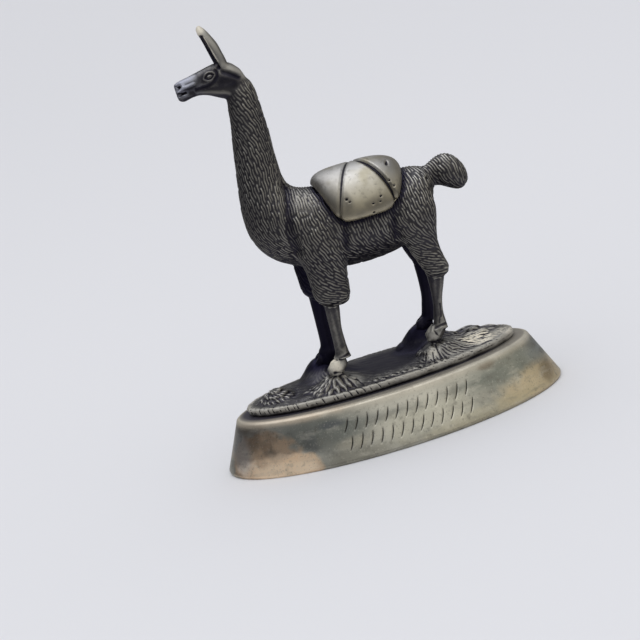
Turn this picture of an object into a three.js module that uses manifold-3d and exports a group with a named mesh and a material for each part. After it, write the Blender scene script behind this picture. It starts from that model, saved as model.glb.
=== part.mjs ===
// A small silver llama carrying a pack. It stands on a piece of rocky ground over a low oval plinth.
// Millimetres, +Z up. The origin is the middle of the plinth's underside, and the head is at -X.
import * as THREE from 'three';
import { mergeVertices } from 'three/addons/utils/BufferGeometryUtils.js';
import Module from 'manifold-3d';

const wasm = await Module();
wasm.setup();

// Plinth
const plinthLength = 46;
const plinthWidth = 23.8;
const plinthHeight = 6.9;
const plinthFlare = 3; // how far the wall leans in from the foot to the top
const footRound = 0.45;
const topRound = 0.35;
const plinthSides = 60;

// Marks on the plinth's front wall: rows of short slanted strokes
const strokeRows = 2;
const strokesInRow = 12;
const strokeLength = 1.9;
const strokeWidth = 0.45;
const strokeDepth = 0.22;
const strokePitch = 1.5;
const strokeRowPitch = 2.2;
const strokeLean = 0.45; // radians from upright
const strokeFieldX = 1.4; // middle of the rows along the plinth

// Ground under the llama
const ledge = 1.75; // bare strip of the plinth's top that is left around the ground
const groundFootHeight = 0.35;
const groundFootInset = 0.5;
const groundRimHeight = 0.75;
const groundRimRound = 0.2;
const groundRings = [0.1, 0.3, 0.48, 0.64, 0.79, 0.9]; // shares of the way from the middle to the rim
const groundFallsFrom = 0.75; // share of that way at which the rises start to level out
const groundSectors = 36;
const leafWidth = 0.85;
const bladeWidth = 0.6;
const leafRise = 0.35; // how far a leaf's keel stands over the ground
const leafRoot = 1.2; // how deep its root goes where the ground is thick enough

// Llama
const figureHeight = 50.8; // from the plinth's top to the tips of the ears
const woolLock = 0.1; // how far the locks of wool stand out of the fleece
const trunkSides = 20;
const tailSides = 10;
const fleeceSides = 12;
const legSides = 7;

// Pack
const packGap = 0.3; // clearance between the pack and the back under it
const packTopThickness = 2.75;
const packSideThickness = 1.65;
const packInnerDepth = 1.5; // how deep its blank reaches in before the back is cut out of it
const packReach = 1.33; // radians from the crest to each lower edge
const packFullness = 2.1; // power of its rounded section
const packFront = { crest: -1.9, edge: 0.9 };
const packRear = { crest: 9.95, edge: 8.3 };
const packRibs = 14;
const packSides = 13;
const packLastRib = 0.9995; // share of the reach at which the swell closes
const ropeWidth = 0.7;
const ropeDepth = 0.35;
const ropeSteps = 10;
const ropeLevelFrom = 0.93; // share of the reach past which a rope keeps its depth
const ropeOverrun = 1.04; // share of the reach at which a rope leaves the lower edge

// Where the two ropes lie: [share of the way from the crest to the lower edge, x], near side below 0
const ropeLines = [
  [[-1, 0.55], [-0.4, 2.2], [0.22, 3.8], [0.45, 4.4], [1, 8.0]],
  [[-1, 8.35], [-0.5, 7.4], [0.22, 4.7], [0.45, 4.1], [1, 1.2]],
];

// The llama is drawn as rings, in millimetres over the plinth's top, and scaled to figureHeight.
// Neck and trunk, from the poll to the rump: [back x, back z, front x, front z, middle y, half width]
const trunkStations = [
  [-7.0, 44.3, -9.0, 43.0, 0, 1.2],
  [-6.0, 43.1, -8.9, 41.4, 0, 1.7],
  [-5.35, 41.9, -9.0, 40.5, 0, 1.88],
  [-5.12, 39.6, -9.2, 38.6, 0, 2.05],
  [-5.05, 36.1, -9.75, 35.6, 0, 2.3],
  [-5.15, 32.9, -10.35, 32.4, 0, 2.65],
  [-5.17, 30.3, -10.8, 29.7, 0, 3.0],
  [-4.9, 28.6, -11.2, 27.1, 0, 3.45],
  [-4.3, 27.65, -11.35, 24.9, 0, 3.85],
  [-3.4, 27.15, -11.1, 22.6, 0, 4.15],
  [-2.4, 26.9, -10.2, 20.6, 0, 4.35],
  [-1.2, 26.7, -8.6, 18.9, 0, 4.5],
  [0.2, 26.4, -6.0, 17.4, 0, 4.6],
  [2.0, 26.05, -2.5, 16.0, 0, 4.65],
  [4.0, 25.85, 1.5, 15.55, 0, 4.65],
  [6.5, 25.75, 5.0, 15.6, 0, 4.65],
  [9.0, 25.8, 8.0, 16.2, 0, 4.5],
  [10.8, 25.6, 10.3, 17.6, 0, 4.2],
  [12.2, 25.2, 12.0, 19.6, 0, 3.5],
  [13.1, 24.3, 12.9, 21.4, 0, 2.3],
  [13.4, 23.4, 13.3, 22.4, 0, 1.0],
];
const [, backZ, , bellyZ, , barrelHalfWidth] = trunkStations[14]; // the station under the pack's middle
const withersRise = 0.9; // how much higher the back is at the pack's front end

const tailStations = [
  [12.2, 25.1, 11.8, 22.4, 0, 0.8],
  [13.4, 25.35, 12.9, 22.5, 0, 0.9],
  [14.6, 25.85, 13.7, 22.35, 0, 1.2],
  [15.8, 25.95, 14.3, 22.2, 0, 1.6],
  [17.0, 25.2, 14.9, 21.85, 0, 1.85],
  [17.8, 23.8, 15.5, 21.5, 0, 1.8],
  [17.95, 22.4, 16.1, 21.2, 0, 1.5],
  [17.6, 21.5, 16.6, 21.0, 0, 0.9],
  [17.2, 21.1, 16.8, 21.0, 0, 0.3],
];

const headStations = [
  [-14.88, 44.4, -14.86, 42.95, 0, 0.5],
  [-14.75, 44.65, -14.7, 42.45, 0, 0.8],
  [-14.0, 44.9, -14.1, 42.2, 0, 0.95],
  [-13.0, 45.05, -13.0, 42.4, 0, 1.02],
  [-12.0, 45.25, -12.0, 42.4, 0, 1.15],
  [-11.0, 45.4, -11.0, 42.1, 0, 1.4],
  [-10.0, 45.6, -10.1, 41.6, 0, 1.6],
  [-9.0, 45.75, -9.2, 41.1, 0, 1.75],
  [-8.0, 45.6, -8.2, 41.0, 0, 1.8],
  [-7.1, 45.1, -7.3, 41.2, 0, 1.7],
  [-6.3, 44.2, -6.5, 41.9, 0, 1.4],
  [-5.9, 43.4, -6.0, 42.6, 0, 0.8],
];

// Near ear from the tip down; the far ear is its mirror image
const earStations = [
  [-9.55, 50.8, -9.95, 50.75, -0.62, 0.15],
  [-9.0, 50.1, -10.15, 50.2, -0.75, 0.38],
  [-8.45, 49.0, -9.85, 49.1, -0.98, 0.55],
  [-8.0, 47.9, -9.62, 48.0, -1.12, 0.68],
  [-7.75, 46.7, -9.4, 46.9, -1.1, 0.7],
  [-7.55, 45.7, -9.2, 45.9, -0.95, 0.6],
  [-7.6, 44.9, -9.1, 44.9, -0.8, 0.5],
];
const drawnHeight = earStations[0][1]; // the ear's tip
const figureScale = figureHeight / drawnHeight;

// Hollow of the ear, open to the front and outwards
const earCupStations = [
  [-9.6, 50.2, -10.3, 50.25, -0.95, 0.1],
  [-9.1, 49.1, -10.3, 49.2, -1.3, 0.35],
  [-8.75, 47.9, -10.1, 48.0, -1.5, 0.45],
  [-8.55, 46.8, -9.9, 46.9, -1.45, 0.45],
  [-8.6, 46.1, -9.6, 46.2, -1.25, 0.2],
];

// Features of the head and hooves: middle, half sizes, and tilt in radians
const eye = { middle: [-10.3, 1.4, 44.45], half: [0.55, 0.3, 0.36], tilt: 0.15 };
const nostril = { middle: [-14.6, 0.62, 44.25], half: [0.36, 0.26, 0.26], tilt: 0.5 };
const mouth = { middle: [-14.55, 0, 43.2], half: [0.85, 1.5, 0.14], tilt: -0.08 };
const toe = { rise: 1.1, spread: 0.42, half: [1.45, 0.6, 0.95], tilt: -0.55 };

// Near legs: the fleece down to its hem, then the bare leg down to the flared cuff over the hoof
const foreFleeceStations = [
  [-1.0, 25.2, -5.2, 25.2, -2.4, 1.2],
  [-0.4, 22.4, -6.3, 22.4, -2.75, 2.1],
  [0.35, 19.5, -6.1, 19.5, -2.95, 2.15],
  [-0.2, 17.5, -5.75, 17.5, -2.95, 2.05],
  [-0.75, 15.0, -5.6, 15.0, -2.95, 1.95],
  [-1.0, 13.2, -5.6, 13.6, -2.9, 1.9],
  [-1.3, 12.1, -5.35, 12.8, -2.85, 1.8],
  [-2.2, 11.65, -4.7, 12.1, -2.8, 1.2],
];
const foreLegStations = [
  [-2.7, 12.9, -4.7, 12.9, -2.8, 0.85],
  [-2.95, 11.0, -4.75, 11.0, -2.8, 0.8],
  [-3.4, 8.6, -4.85, 8.6, -2.8, 0.72],
  [-3.45, 6.6, -4.95, 6.6, -2.8, 0.72],
  [-3.4, 5.4, -5.1, 5.4, -2.8, 0.82],
  [-3.25, 4.5, -5.5, 4.75, -2.8, 1.0],
];
const hindFleeceStations = [
  [12.3, 23.8, 7.6, 23.8, -2.2, 1.4],
  [12.7, 21.0, 6.8, 20.6, -2.7, 2.15],
  [12.3, 18.8, 6.95, 18.4, -2.85, 2.1],
  [11.75, 16.7, 7.7, 16.4, -2.85, 1.75],
  [11.75, 15.0, 8.3, 14.6, -2.8, 1.4],
  [11.95, 13.4, 8.9, 12.9, -2.8, 1.15],
  [12.3, 12.1, 9.3, 11.7, -2.8, 0.98],
  [11.7, 11.3, 9.7, 11.2, -2.8, 0.75],
];
const hindLegStations = [
  [11.6, 12.2, 9.4, 12.2, -2.8, 0.7],
  [11.0, 10.5, 9.4, 10.3, -2.8, 0.72],
  [10.25, 8.4, 9.05, 8.1, -2.8, 0.65],
  [9.95, 6.7, 8.6, 6.6, -2.8, 0.66],
  [9.95, 5.3, 8.3, 5.5, -2.8, 0.78],
  [9.98, 4.3, 8.0, 4.9, -2.8, 0.95],
];

// The four legs: the far ones stand a little further forward. hoofX and soleZ place the hoof.
const legMiddleY = 2.8;
const fore = { fleece: foreFleeceStations, bare: foreLegStations, hoofX: -5.3 };
const hind = { fleece: hindFleeceStations, bare: hindLegStations, hoofX: 8.15 };
const nearFore = { ...fore, side: -1, shift: 0, soleZ: 2.5 };
const farFore = { ...fore, side: 1, shift: -1.2, soleZ: 2.6 };
const nearHind = { ...hind, side: -1, shift: 0, soleZ: 3.0 };
const farHind = { ...hind, side: 1, shift: -0.8, soleZ: 3.1 };
const legs = [nearFore, farFore, nearHind, farHind];

// Rises of the ground: [x, y, top, half length, half width]
const groundLevel = 1.3;
const moundHalf = [3.9, 3.6];
const moundSpread = 1.15; // how many half sizes away a rise has died out
const rises = [
  ...legs.map((leg) => [leg.hoofX + leg.shift, leg.side * legMiddleY, leg.soleZ, ...moundHalf]),
  [-7.6, 3.9, 2.7, 3.6, 2.7],
  [5.8, 3.6, 2.6, 3.6, 2.8],
  [-14.2, -0.2, 2.5, 2.6, 2.4],
  [13.2, 2.6, 1.8, 3.2, 2.4],
];

// Leaves that fan out from a hoof, away from its middle, from the first to the last half turn
const fans = [
  { leg: nearFore, leaves: 8, away: 2.3, length: 2.4, turns: [0.98, 2.02] },
  { leg: nearFore, leaves: 6, away: 3.5, length: 1.8, turns: [1.08, 1.92] },
  { leg: nearHind, leaves: 6, away: 2.4, length: 2.2, turns: [1.02, 1.98] },
  { leg: farFore, leaves: 3, away: 2.4, length: 1.8, turns: [0.15, 0.85] },
  { leg: farHind, leaves: 3, away: 2.4, length: 1.8, turns: [0.1, 0.9] },
];

const silver = { color: 0xa3a298, roughness: 0.32, metalness: 1 };
const oxidised = { color: 0x55534c, roughness: 0.5, metalness: 1 };
const bright = { color: 0xbab8ae, roughness: 0.28, metalness: 1 };

// A closed geometry as a solid that can be joined and cut.
function solid(geometry) {
  geometry.deleteAttribute('normal');
  geometry.deleteAttribute('uv');
  const merged = mergeVertices(geometry, 1e-4);
  const mesh = new wasm.Mesh({
    numProp: 3,
    vertProperties: new Float32Array(merged.attributes.position.array),
    triVerts: new Uint32Array(merged.index.array),
  });
  return new wasm.Manifold(mesh);
}

// A finished solid as a named mesh with a material of its own.
function namedMesh(name, body, finish) {
  const { vertProperties, triVerts } = body.getMesh();
  const geometry = new THREE.BufferGeometry();
  geometry.setAttribute('position', new THREE.BufferAttribute(vertProperties, 3));
  geometry.setIndex(new THREE.BufferAttribute(triVerts, 1));
  geometry.computeVertexNormals();
  const mesh = new THREE.Mesh(geometry, new THREE.MeshStandardMaterial(finish));
  mesh.name = name;
  return mesh;
}

function joined(bodies) {
  return bodies.reduce((total, body) => total.add(body));
}

// Closed skin over rings of equal count, each end closed to the middle of its ring.
function skin(rings) {
  const sides = rings[0].length;
  const middle = (ring) =>
    ring.reduce((sum, point) => sum.add(point), new THREE.Vector3()).multiplyScalar(1 / sides);
  const points = [middle(rings[0]), ...rings.flat(), middle(rings.at(-1))];
  const lastPole = points.length - 1;
  const lastRing = lastPole - sides;
  const index = [];
  for (let j = 0; j < sides; j++) {
    const next = (j + 1) % sides;
    index.push(0, 1 + j, 1 + next);
    for (let a = 1; a < lastRing; a += sides) {
      const b = a + sides;
      index.push(a + j, b + j, a + next, a + next, b + j, b + next);
    }
    index.push(lastPole, lastRing + next, lastRing + j);
  }
  const geometry = new THREE.BufferGeometry().setFromPoints(points);
  geometry.setIndex(index);
  return geometry;
}

// A point of the figure, from its place as drawn over the plinth's top.
function figurePoint(x, y, z) {
  const point = new THREE.Vector3(x, y, z).multiplyScalar(figureScale);
  point.z += plinthHeight;
  return point;
}

// A smooth ring: cosine and sine pushed towards a rounded box as power grows past 2.
function roundedTurn(turn, power) {
  const push = (value) => Math.sign(value) * Math.abs(value) ** (2 / power);
  return [push(Math.cos(turn)), push(Math.sin(turn))];
}

// A limb lofted through stations that run from the head to the tail, or from the top down.
// side is -1 for the near side, as drawn, and 1 for its mirror image on the far side.
function limb(stations, sides, { steps = 2, power = 2, grow = 0, lock = 0, shift = 0, side = -1 } = {}) {
  const smooth = (place) => new THREE.CatmullRomCurve3(stations.map(place), false, 'catmullrom');
  const backs = smooth(([x, z, , , y]) => figurePoint(x + shift, -side * y, z));
  const fronts = smooth(([, , x, z, y]) => figurePoint(x + shift, -side * y, z));
  const widths = smooth(([, , , , , width]) => new THREE.Vector3(width * figureScale, 0, 0));
  const count = (stations.length - 1) * steps;
  const rings = [];
  for (let i = 0; i <= count; i++) {
    const back = backs.getPoint(i / count);
    const middle = back.clone().lerp(fronts.getPoint(i / count), 0.5);
    const reach = back.sub(middle);
    const depth = reach.length();
    const width = widths.getPoint(i / count).x;
    const ring = [];
    for (let j = 0; j < sides; j++) {
      const [c, s] = roundedTurn((2 * Math.PI * j) / sides, power);
      const out = grow + ((Math.floor(i / 2) + j) % 2 ? lock : -lock) * figureScale;
      const point = middle.clone().addScaledVector(reach, (c * (depth + out)) / depth);
      point.y += s * (width + out);
      ring.push(point);
    }
    rings.push(ring);
  }
  return solid(skin(rings));
}

// A unit shape as a feature of the figure, on the near side (-1) or the far one (1).
function feature(geometry, { middle: [x, y, z], half, tilt }, side = 1) {
  geometry.scale(...half.map((size) => size * figureScale));
  geometry.rotateY(tilt);
  const place = figurePoint(x, side * y, z);
  geometry.translate(place.x, place.y, place.z);
  return solid(geometry);
}

function ball(shape, side, segments = 8) {
  return feature(new THREE.SphereGeometry(1, segments, Math.round(segments * 0.6)), shape, side);
}

// How far the plinth's wall has come in at a height over its foot.
function wallInset(z) {
  return (plinthFlare * (z - footRound)) / (plinthHeight - footRound);
}

// Plinth: ellipses stacked from the top to the foot, both edges slightly rounded.
function plinth() {
  const level = (inset, z) => {
    const ring = [];
    for (let j = 0; j < plinthSides; j++) {
      const turn = (2 * Math.PI * j) / plinthSides;
      const x = (plinthLength / 2 - inset) * Math.cos(turn);
      ring.push(new THREE.Vector3(x, (plinthWidth / 2 - inset) * Math.sin(turn), z));
    }
    return ring;
  };
  return solid(skin([
    level(plinthFlare + topRound, plinthHeight),
    level(wallInset(plinthHeight - topRound), plinthHeight - topRound),
    level(0, footRound),
    level(footRound / 2, 0),
  ]));
}

// Half the plinth's width at a height, on the front wall at x.
function plinthFrontY(x, z) {
  const inset = wallInset(z);
  return -(plinthWidth / 2 - inset) * Math.sqrt(1 - (x / (plinthLength / 2 - inset)) ** 2);
}

// Rows of slanted strokes, each a lozenge half sunk into the wall.
function strokes() {
  const cuts = [];
  const wallLean = Math.atan2(plinthFlare, plinthHeight);
  for (let row = 0; row < strokeRows; row++) {
    const z = plinthHeight / 2 + (row - (strokeRows - 1) / 2) * strokeRowPitch;
    for (let i = 0; i < strokesInRow; i++) {
      const x = strokeFieldX + (i - (strokesInRow - 1) / 2) * strokePitch;
      const cut = new THREE.OctahedronGeometry(1);
      cut.scale(strokeWidth / 2, strokeDepth, strokeLength / 2);
      cut.rotateY(strokeLean);
      cut.rotateX(-wallLean);
      cut.rotateZ(Math.atan2(plinthFrontY(x + 1, z) - plinthFrontY(x - 1, z), 2));
      cut.translate(x, plinthFrontY(x, z), z);
      cuts.push(solid(cut));
    }
  }
  return joined(cuts);
}

// Half length and half width of the ground, which leaves the ledge bare.
const groundHalfLength = plinthLength / 2 - plinthFlare - ledge;
const groundHalfWidth = plinthWidth / 2 - plinthFlare - ledge;
const groundRimTop = groundFootHeight + groundRimHeight;

// Height of the ground's surface over the plinth's top.
function groundTop(x, y) {
  const edge = Math.hypot(x / groundHalfLength, y / groundHalfWidth);
  let height = groundLevel;
  for (const [riseX, riseY, top, halfLength, halfWidth] of rises) {
    const away = Math.hypot((x / figureScale - riseX) / halfLength, (y / figureScale - riseY) / halfWidth);
    const near = THREE.MathUtils.clamp(moundSpread - away, 0, 1);
    height += (top - groundLevel) * near * near * (3 - 2 * near);
  }
  const inside = 1 - THREE.MathUtils.smoothstep(edge, groundFallsFrom, 1);
  return groundRimTop + Math.max(0, height * figureScale - groundRimTop) * inside;
}

// The ground: a narrow foot, an overhanging rim and a surface that rises to each hoof.
function ground() {
  const level = (share, inset, height) => {
    const ring = [];
    for (let j = 0; j < groundSectors; j++) {
      const turn = (2 * Math.PI * j) / groundSectors;
      const x = share * (groundHalfLength - inset) * Math.cos(turn);
      const y = share * (groundHalfWidth - inset) * Math.sin(turn);
      ring.push(new THREE.Vector3(x, y, plinthHeight + height(x, y)));
    }
    return ring;
  };
  const rings = groundRings.map((share) => level(share, 0, groundTop));
  rings.push(level(1, groundRimRound, () => groundRimTop));
  rings.push(level(1, 0, () => groundRimTop - groundRimRound));
  rings.push(level(1, 0, () => groundFootHeight + groundRimRound / 2));
  rings.push(level(1, groundFootInset, () => groundFootHeight));
  rings.push(level(1, groundFootInset, () => 0));
  return solid(skin(rings));
}

// A leaf or blade that lies on the ground, keeled along its middle, with its root in the ground.
function leaf(x, y, heading, length, width) {
  const geometry = new THREE.OctahedronGeometry(1);
  geometry.scale(length / 2, width / 2, 1);
  const root = Math.min(leafRoot, (groundTop(x, y) - groundFootHeight) * 0.8);
  const points = geometry.attributes.position;
  for (let i = 0; i < points.count; i++) {
    points.setZ(i, points.getZ(i) * (points.getZ(i) > 0 ? leafRise : root));
  }
  const [alongX, alongY] = [Math.cos(heading) / 2, Math.sin(heading) / 2];
  const fall = groundTop(x + alongX, y + alongY) - groundTop(x - alongX, y - alongY);
  geometry.rotateY(-Math.atan(fall));
  geometry.rotateZ(heading);
  geometry.translate(x, y, plinthHeight + groundTop(x, y));
  return solid(geometry);
}

// One fan, slightly shorter across the ground than along it.
function fan({ leg: { hoofX, shift, side }, leaves, away, length, turns: [first, last] }) {
  const plants = [];
  for (let i = 0; i < leaves; i++) {
    const heading = Math.PI * THREE.MathUtils.lerp(first, last, i / (leaves - 1));
    const x = hoofX + shift + away * Math.cos(heading);
    const y = side * legMiddleY + 0.85 * away * Math.sin(heading);
    plants.push(leaf(x * figureScale, y * figureScale, heading, length * figureScale, leafWidth));
  }
  return plants;
}

// A tuft at the head end, leaves along the near rim and blades of grass at the tail end.
function endPlants() {
  const plants = [];
  for (let i = 0; i < 5; i++) {
    const turn = Math.PI * (0.8 + i / 4);
    const tuftX = -groundHalfLength * 0.77 + 1.5 * Math.cos(turn);
    plants.push(leaf(tuftX, 1.5 * Math.sin(turn) - 0.4, turn, 2, leafWidth));
    plants.push(leaf(groundHalfLength * (0.03 + 0.093 * i), -groundHalfWidth * 0.84, 2.5, 1.5, bladeWidth));
    const bladeX = groundHalfLength * (i % 2 ? 0.79 : 0.67);
    plants.push(leaf(bladeX, groundHalfWidth * (0.18 * i - 0.45), 0.08 * (i - 2), 3.4, bladeWidth));
  }
  return plants;
}

// Two toes that slope down to the front.
function hoof({ side, shift, hoofX, soleZ }) {
  return [-toe.spread, toe.spread].map((spread) => {
    const middle = [hoofX + shift, side * legMiddleY + spread, soleZ + toe.rise];
    return ball({ ...toe, middle }, 1, 7);
  });
}

function leg({ fleece, bare, side, shift }) {
  return [
    limb(fleece, fleeceSides, { power: 2.3, lock: woolLock, side, shift }),
    limb(bare, legSides, { steps: 1, side, shift }),
  ];
}

function head() {
  const face = joined([
    limb(headStations, 12, { steps: 1, power: 2.3 }),
    ...[-1, 1].map((side) => ball(eye, side)),
  ]);
  const hollows = [
    feature(new THREE.BoxGeometry(2, 2, 2), mouth),
    ...[-1, 1].map((side) => ball(nostril, side, 6)),
  ];
  const ears = [-1, 1].map((side) =>
    limb(earStations, 8, { side, steps: 1 }).subtract(limb(earCupStations, 6, { side, steps: 1 })));
  return [face.subtract(joined(hollows)), ...ears];
}

// The pack runs across the back from its near lower edge (v = -1) over the crest to its far one (v = 1).
const packMiddleX = (packFront.crest + packRear.crest) / 2;
const trunkMiddleZ = (backZ + bellyZ) / 2;
const trunkHalfHeight = (backZ - bellyZ) / 2;

// One rib of the pack: it fills out from the crest and closes at the lower edges.
function packRib(v) {
  const spread = Math.min(Math.abs(v), packLastRib);
  const front = THREE.MathUtils.lerp(packFront.crest, packFront.edge, spread ** 1.3);
  const rear = THREE.MathUtils.lerp(packRear.crest, packRear.edge, spread ** 2.5);
  const closing = (1 - spread ** 5) ** (1 / 5);
  return {
    turn: v * packReach,
    middleX: (front + rear) / 2,
    halfLength: ((rear - front) / 2) * closing,
    thickness: THREE.MathUtils.lerp(packTopThickness, packSideThickness, spread ** 1.5) * closing,
  };
}

// A point at x on a rib, out from the surface of the trunk.
function packPoint({ turn }, x, out) {
  const ahead = Math.max(0, (packMiddleX - x) / (packMiddleX - packFront.crest));
  const y = Math.sin(turn) * barrelHalfWidth;
  const z = trunkMiddleZ + Math.cos(turn) * (trunkHalfHeight + withersRise * ahead ** 2);
  return figurePoint(x, y, z).add(new THREE.Vector3(0, Math.sin(turn) * out, Math.cos(turn) * out));
}

function packSwell() {
  const rings = [];
  for (let i = 0; i <= packRibs; i++) {
    const rib = packRib(packLastRib * Math.sin(Math.PI * (i / packRibs - 0.5)));
    const ring = [];
    for (let j = 0; j < packSides; j++) {
      const [along, rise] = roundedTurn((2 * Math.PI * j) / packSides, packFullness);
      const out = rise * (rise > 0 ? rib.thickness : packInnerDepth);
      ring.push(packPoint(rib, rib.middleX + along * rib.halfLength, out));
    }
    rings.push(ring);
  }
  return solid(skin(rings));
}

// A round bar along one rope, sunk into the pack's surface by the rope's depth.
function ropeGroove(line) {
  const radius = ropeWidth / 2;
  const corners = line.map(([v, x]) => new THREE.Vector3(v, x, 0));
  const path = new THREE.CatmullRomCurve3(corners, false, 'catmullrom');
  const points = [];
  for (let i = 0; i <= ropeSteps; i++) {
    const { x: v, y: x } = path.getPoint(i / ropeSteps);
    const rib = packRib(THREE.MathUtils.clamp(v, -ropeLevelFrom, ropeLevelFrom));
    const along = Math.min(0.98, Math.abs((x - rib.middleX) / rib.halfLength));
    const surface = rib.thickness * (1 - along ** packFullness) ** (1 / packFullness);
    points.push(packPoint({ turn: v * packReach * ropeOverrun }, x, surface + radius - ropeDepth));
  }
  const section = new THREE.Shape().absarc(0, 0, radius, 0, 2 * Math.PI);
  const extrudePath = new THREE.CatmullRomCurve3(points);
  const options = { steps: ropeSteps, curveSegments: 3, bevelEnabled: false, extrudePath };
  return solid(new THREE.ExtrudeGeometry(section, options));
}

function pack() {
  const room = { grow: packGap + woolLock };
  const seat = joined([
    limb(trunkStations, trunkSides, room),
    ...legs.map(({ fleece, side, shift }) => limb(fleece, fleeceSides, { ...room, power: 2.3, side, shift })),
  ]);
  return packSwell().subtract(seat).subtract(joined(ropeLines.map(ropeGroove)));
}

function llama() {
  return joined([
    ground(),
    ...fans.flatMap(fan),
    ...endPlants(),
    limb(trunkStations, trunkSides, { lock: woolLock }),
    limb(tailStations, tailSides, { lock: woolLock }),
    ...head(),
    ...legs.flatMap(leg),
    ...legs.flatMap(hoof),
  ]);
}

const figure = new THREE.Group();
figure.name = 'inca_llama_figure';
figure.add(
  namedMesh('plinth', plinth().subtract(strokes()), silver),
  namedMesh('llama_on_ground', llama(), oxidised),
  namedMesh('pack', pack(), bright),
);

export default figure;
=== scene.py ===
# %% [markdown]
# # A small silver llama with its pack
#
# The real object is a souvenir, not quite six centimetres tall. A llama and the rocky ground under it
# are one silver casting, darkened by oxidation and rubbed bright again on the high points. A brighter
# pack lies over the back, and an oval plinth with a flared wall carries it all. The solid model comes
# first, because every size below is read from it or repeats it.

# %% The solid model and its sizes
import math
import bpy
import numpy as np
from mathutils import Matrix, Vector
from mathutils.bvhtree import BVHTree


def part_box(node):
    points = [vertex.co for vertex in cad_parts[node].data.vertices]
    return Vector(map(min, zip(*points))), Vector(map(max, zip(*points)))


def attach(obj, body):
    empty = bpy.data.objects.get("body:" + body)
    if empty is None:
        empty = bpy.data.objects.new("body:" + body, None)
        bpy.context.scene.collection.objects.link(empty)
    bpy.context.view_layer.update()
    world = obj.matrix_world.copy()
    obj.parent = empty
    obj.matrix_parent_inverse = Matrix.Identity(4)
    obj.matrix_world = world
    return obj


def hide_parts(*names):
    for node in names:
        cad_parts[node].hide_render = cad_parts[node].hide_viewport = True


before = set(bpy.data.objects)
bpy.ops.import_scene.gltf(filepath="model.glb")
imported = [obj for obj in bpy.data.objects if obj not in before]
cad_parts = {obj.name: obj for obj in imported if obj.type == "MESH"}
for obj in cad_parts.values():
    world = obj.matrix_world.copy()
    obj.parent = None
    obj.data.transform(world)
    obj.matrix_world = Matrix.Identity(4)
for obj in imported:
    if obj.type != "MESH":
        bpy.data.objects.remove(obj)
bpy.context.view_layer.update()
MM = 0.001
plinth_length, plinth_width, plinth_height = (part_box("plinth")[1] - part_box("plinth")[0]) / MM
ear_tip_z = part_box("llama_on_ground")[1].z / MM
print(f"plinth {plinth_length:.1f} x {plinth_width:.1f} x {plinth_height:.1f} mm, ears at {ear_tip_z:.1f} mm")

# %% [markdown]
# ## The view
#
# The camera stands a little left of the side view and 18 degrees above it. It is rolled, so that the
# figure leans in the picture while it stands upright on the floor. Its place is worked out from these
# angles, the distance and the point it looks at.

# %% Camera
camera_turn = math.radians(-2.56)
camera_rise = math.radians(18.0)
camera_roll = math.radians(-16.85)
camera_distance = 280 * MM
camera_aim = Vector((-5.718, 0, 16.462)) * MM
sensor_width = 36
view_half_tangent = 320 / 2100  # half the picture's width over its distance, both in pixels


def camera_matrix():
    level = math.cos(camera_rise)
    back = Vector((math.sin(camera_turn) * level, -math.cos(camera_turn) * level, math.sin(camera_rise)))
    place = back * camera_distance
    forward = (camera_aim - place).normalized()
    right = forward.cross(Vector((0, 0, 1))).normalized()
    up = right.cross(forward)
    turned_right = math.cos(camera_roll) * right + math.sin(camera_roll) * up
    turned_up = math.cos(camera_roll) * up - math.sin(camera_roll) * right
    columns = Matrix((turned_right, turned_up, -forward)).transposed()
    return Matrix.Translation(place) @ columns.to_4x4()


def in_scene(name, data):
    made = bpy.data.objects.new(name, data)
    bpy.context.scene.collection.objects.link(made)
    return made


camera = in_scene("camera", bpy.data.cameras.new("camera"))
camera.data.sensor_width = sensor_width
camera.data.lens = sensor_width / 2 / view_half_tangent
camera.data.clip_start = 10 * MM
camera.data.clip_end = 20
camera.matrix_world = camera_matrix()
bpy.context.scene.camera = camera
print(f"camera lens {camera.data.lens:.1f} mm at {camera_distance / MM:.0f} mm")

# %% [markdown]
# ## Shader helpers
#
# Every finish is a small tree of shader nodes. Each helper makes one node, and takes a value or another
# node's output for each input. Places reach the shader in millimetres, so that stains and scratches can
# be given at their real size.

# %% Node helpers
def add_node(tree, kind, inputs=None, **settings):
    """Make one node, set its own settings, then fill or link its inputs."""
    made = tree.nodes.new(kind)
    for name, value in settings.items():
        setattr(made, name, value)
    for key, value in (inputs or {}).items():
        if isinstance(value, bpy.types.NodeSocket):
            tree.links.new(value, made.inputs[key])
        else:
            made.inputs[key].default_value = value
    return made


def sums(tree, operation, a, b=0.0, c=0.0):
    """One step of arithmetic on numbers."""
    return add_node(tree, "ShaderNodeMath", {0: a, 1: b, 2: c}, operation=operation).outputs[0]


def place_sums(tree, operation, a, b=(0, 0, 0)):
    """One step of arithmetic on places; a length or a dot product comes out as one number."""
    second = 3 if operation == "SCALE" else 1  # the socket that b goes into
    made = add_node(tree, "ShaderNodeVectorMath", {0: a, second: b}, operation=operation)
    return made.outputs["Value" if operation in ("LENGTH", "DOT_PRODUCT") else "Vector"]


def remap(tree, value, low, high, out_low=0.0, out_high=1.0):
    """Move a value smoothly from one range to another and hold it there."""
    inputs = {"Value": value, "From Min": low, "From Max": high, "To Min": out_low, "To Max": out_high}
    return add_node(tree, "ShaderNodeMapRange", inputs, interpolation_type="SMOOTHSTEP").outputs[0]


def mixed(tree, share, first, second, blend="MIX"):
    """Colour from first to second as share goes from 0 to 1."""
    inputs = {0: share, 6: first, 7: second}
    return add_node(tree, "ShaderNodeMix", inputs, data_type="RGBA", blend_type=blend).outputs[2]


def place_in_mm(tree):
    return place_sums(tree, "SCALE", add_node(tree, "ShaderNodeTexCoord").outputs["Object"], 1 / MM)


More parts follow.
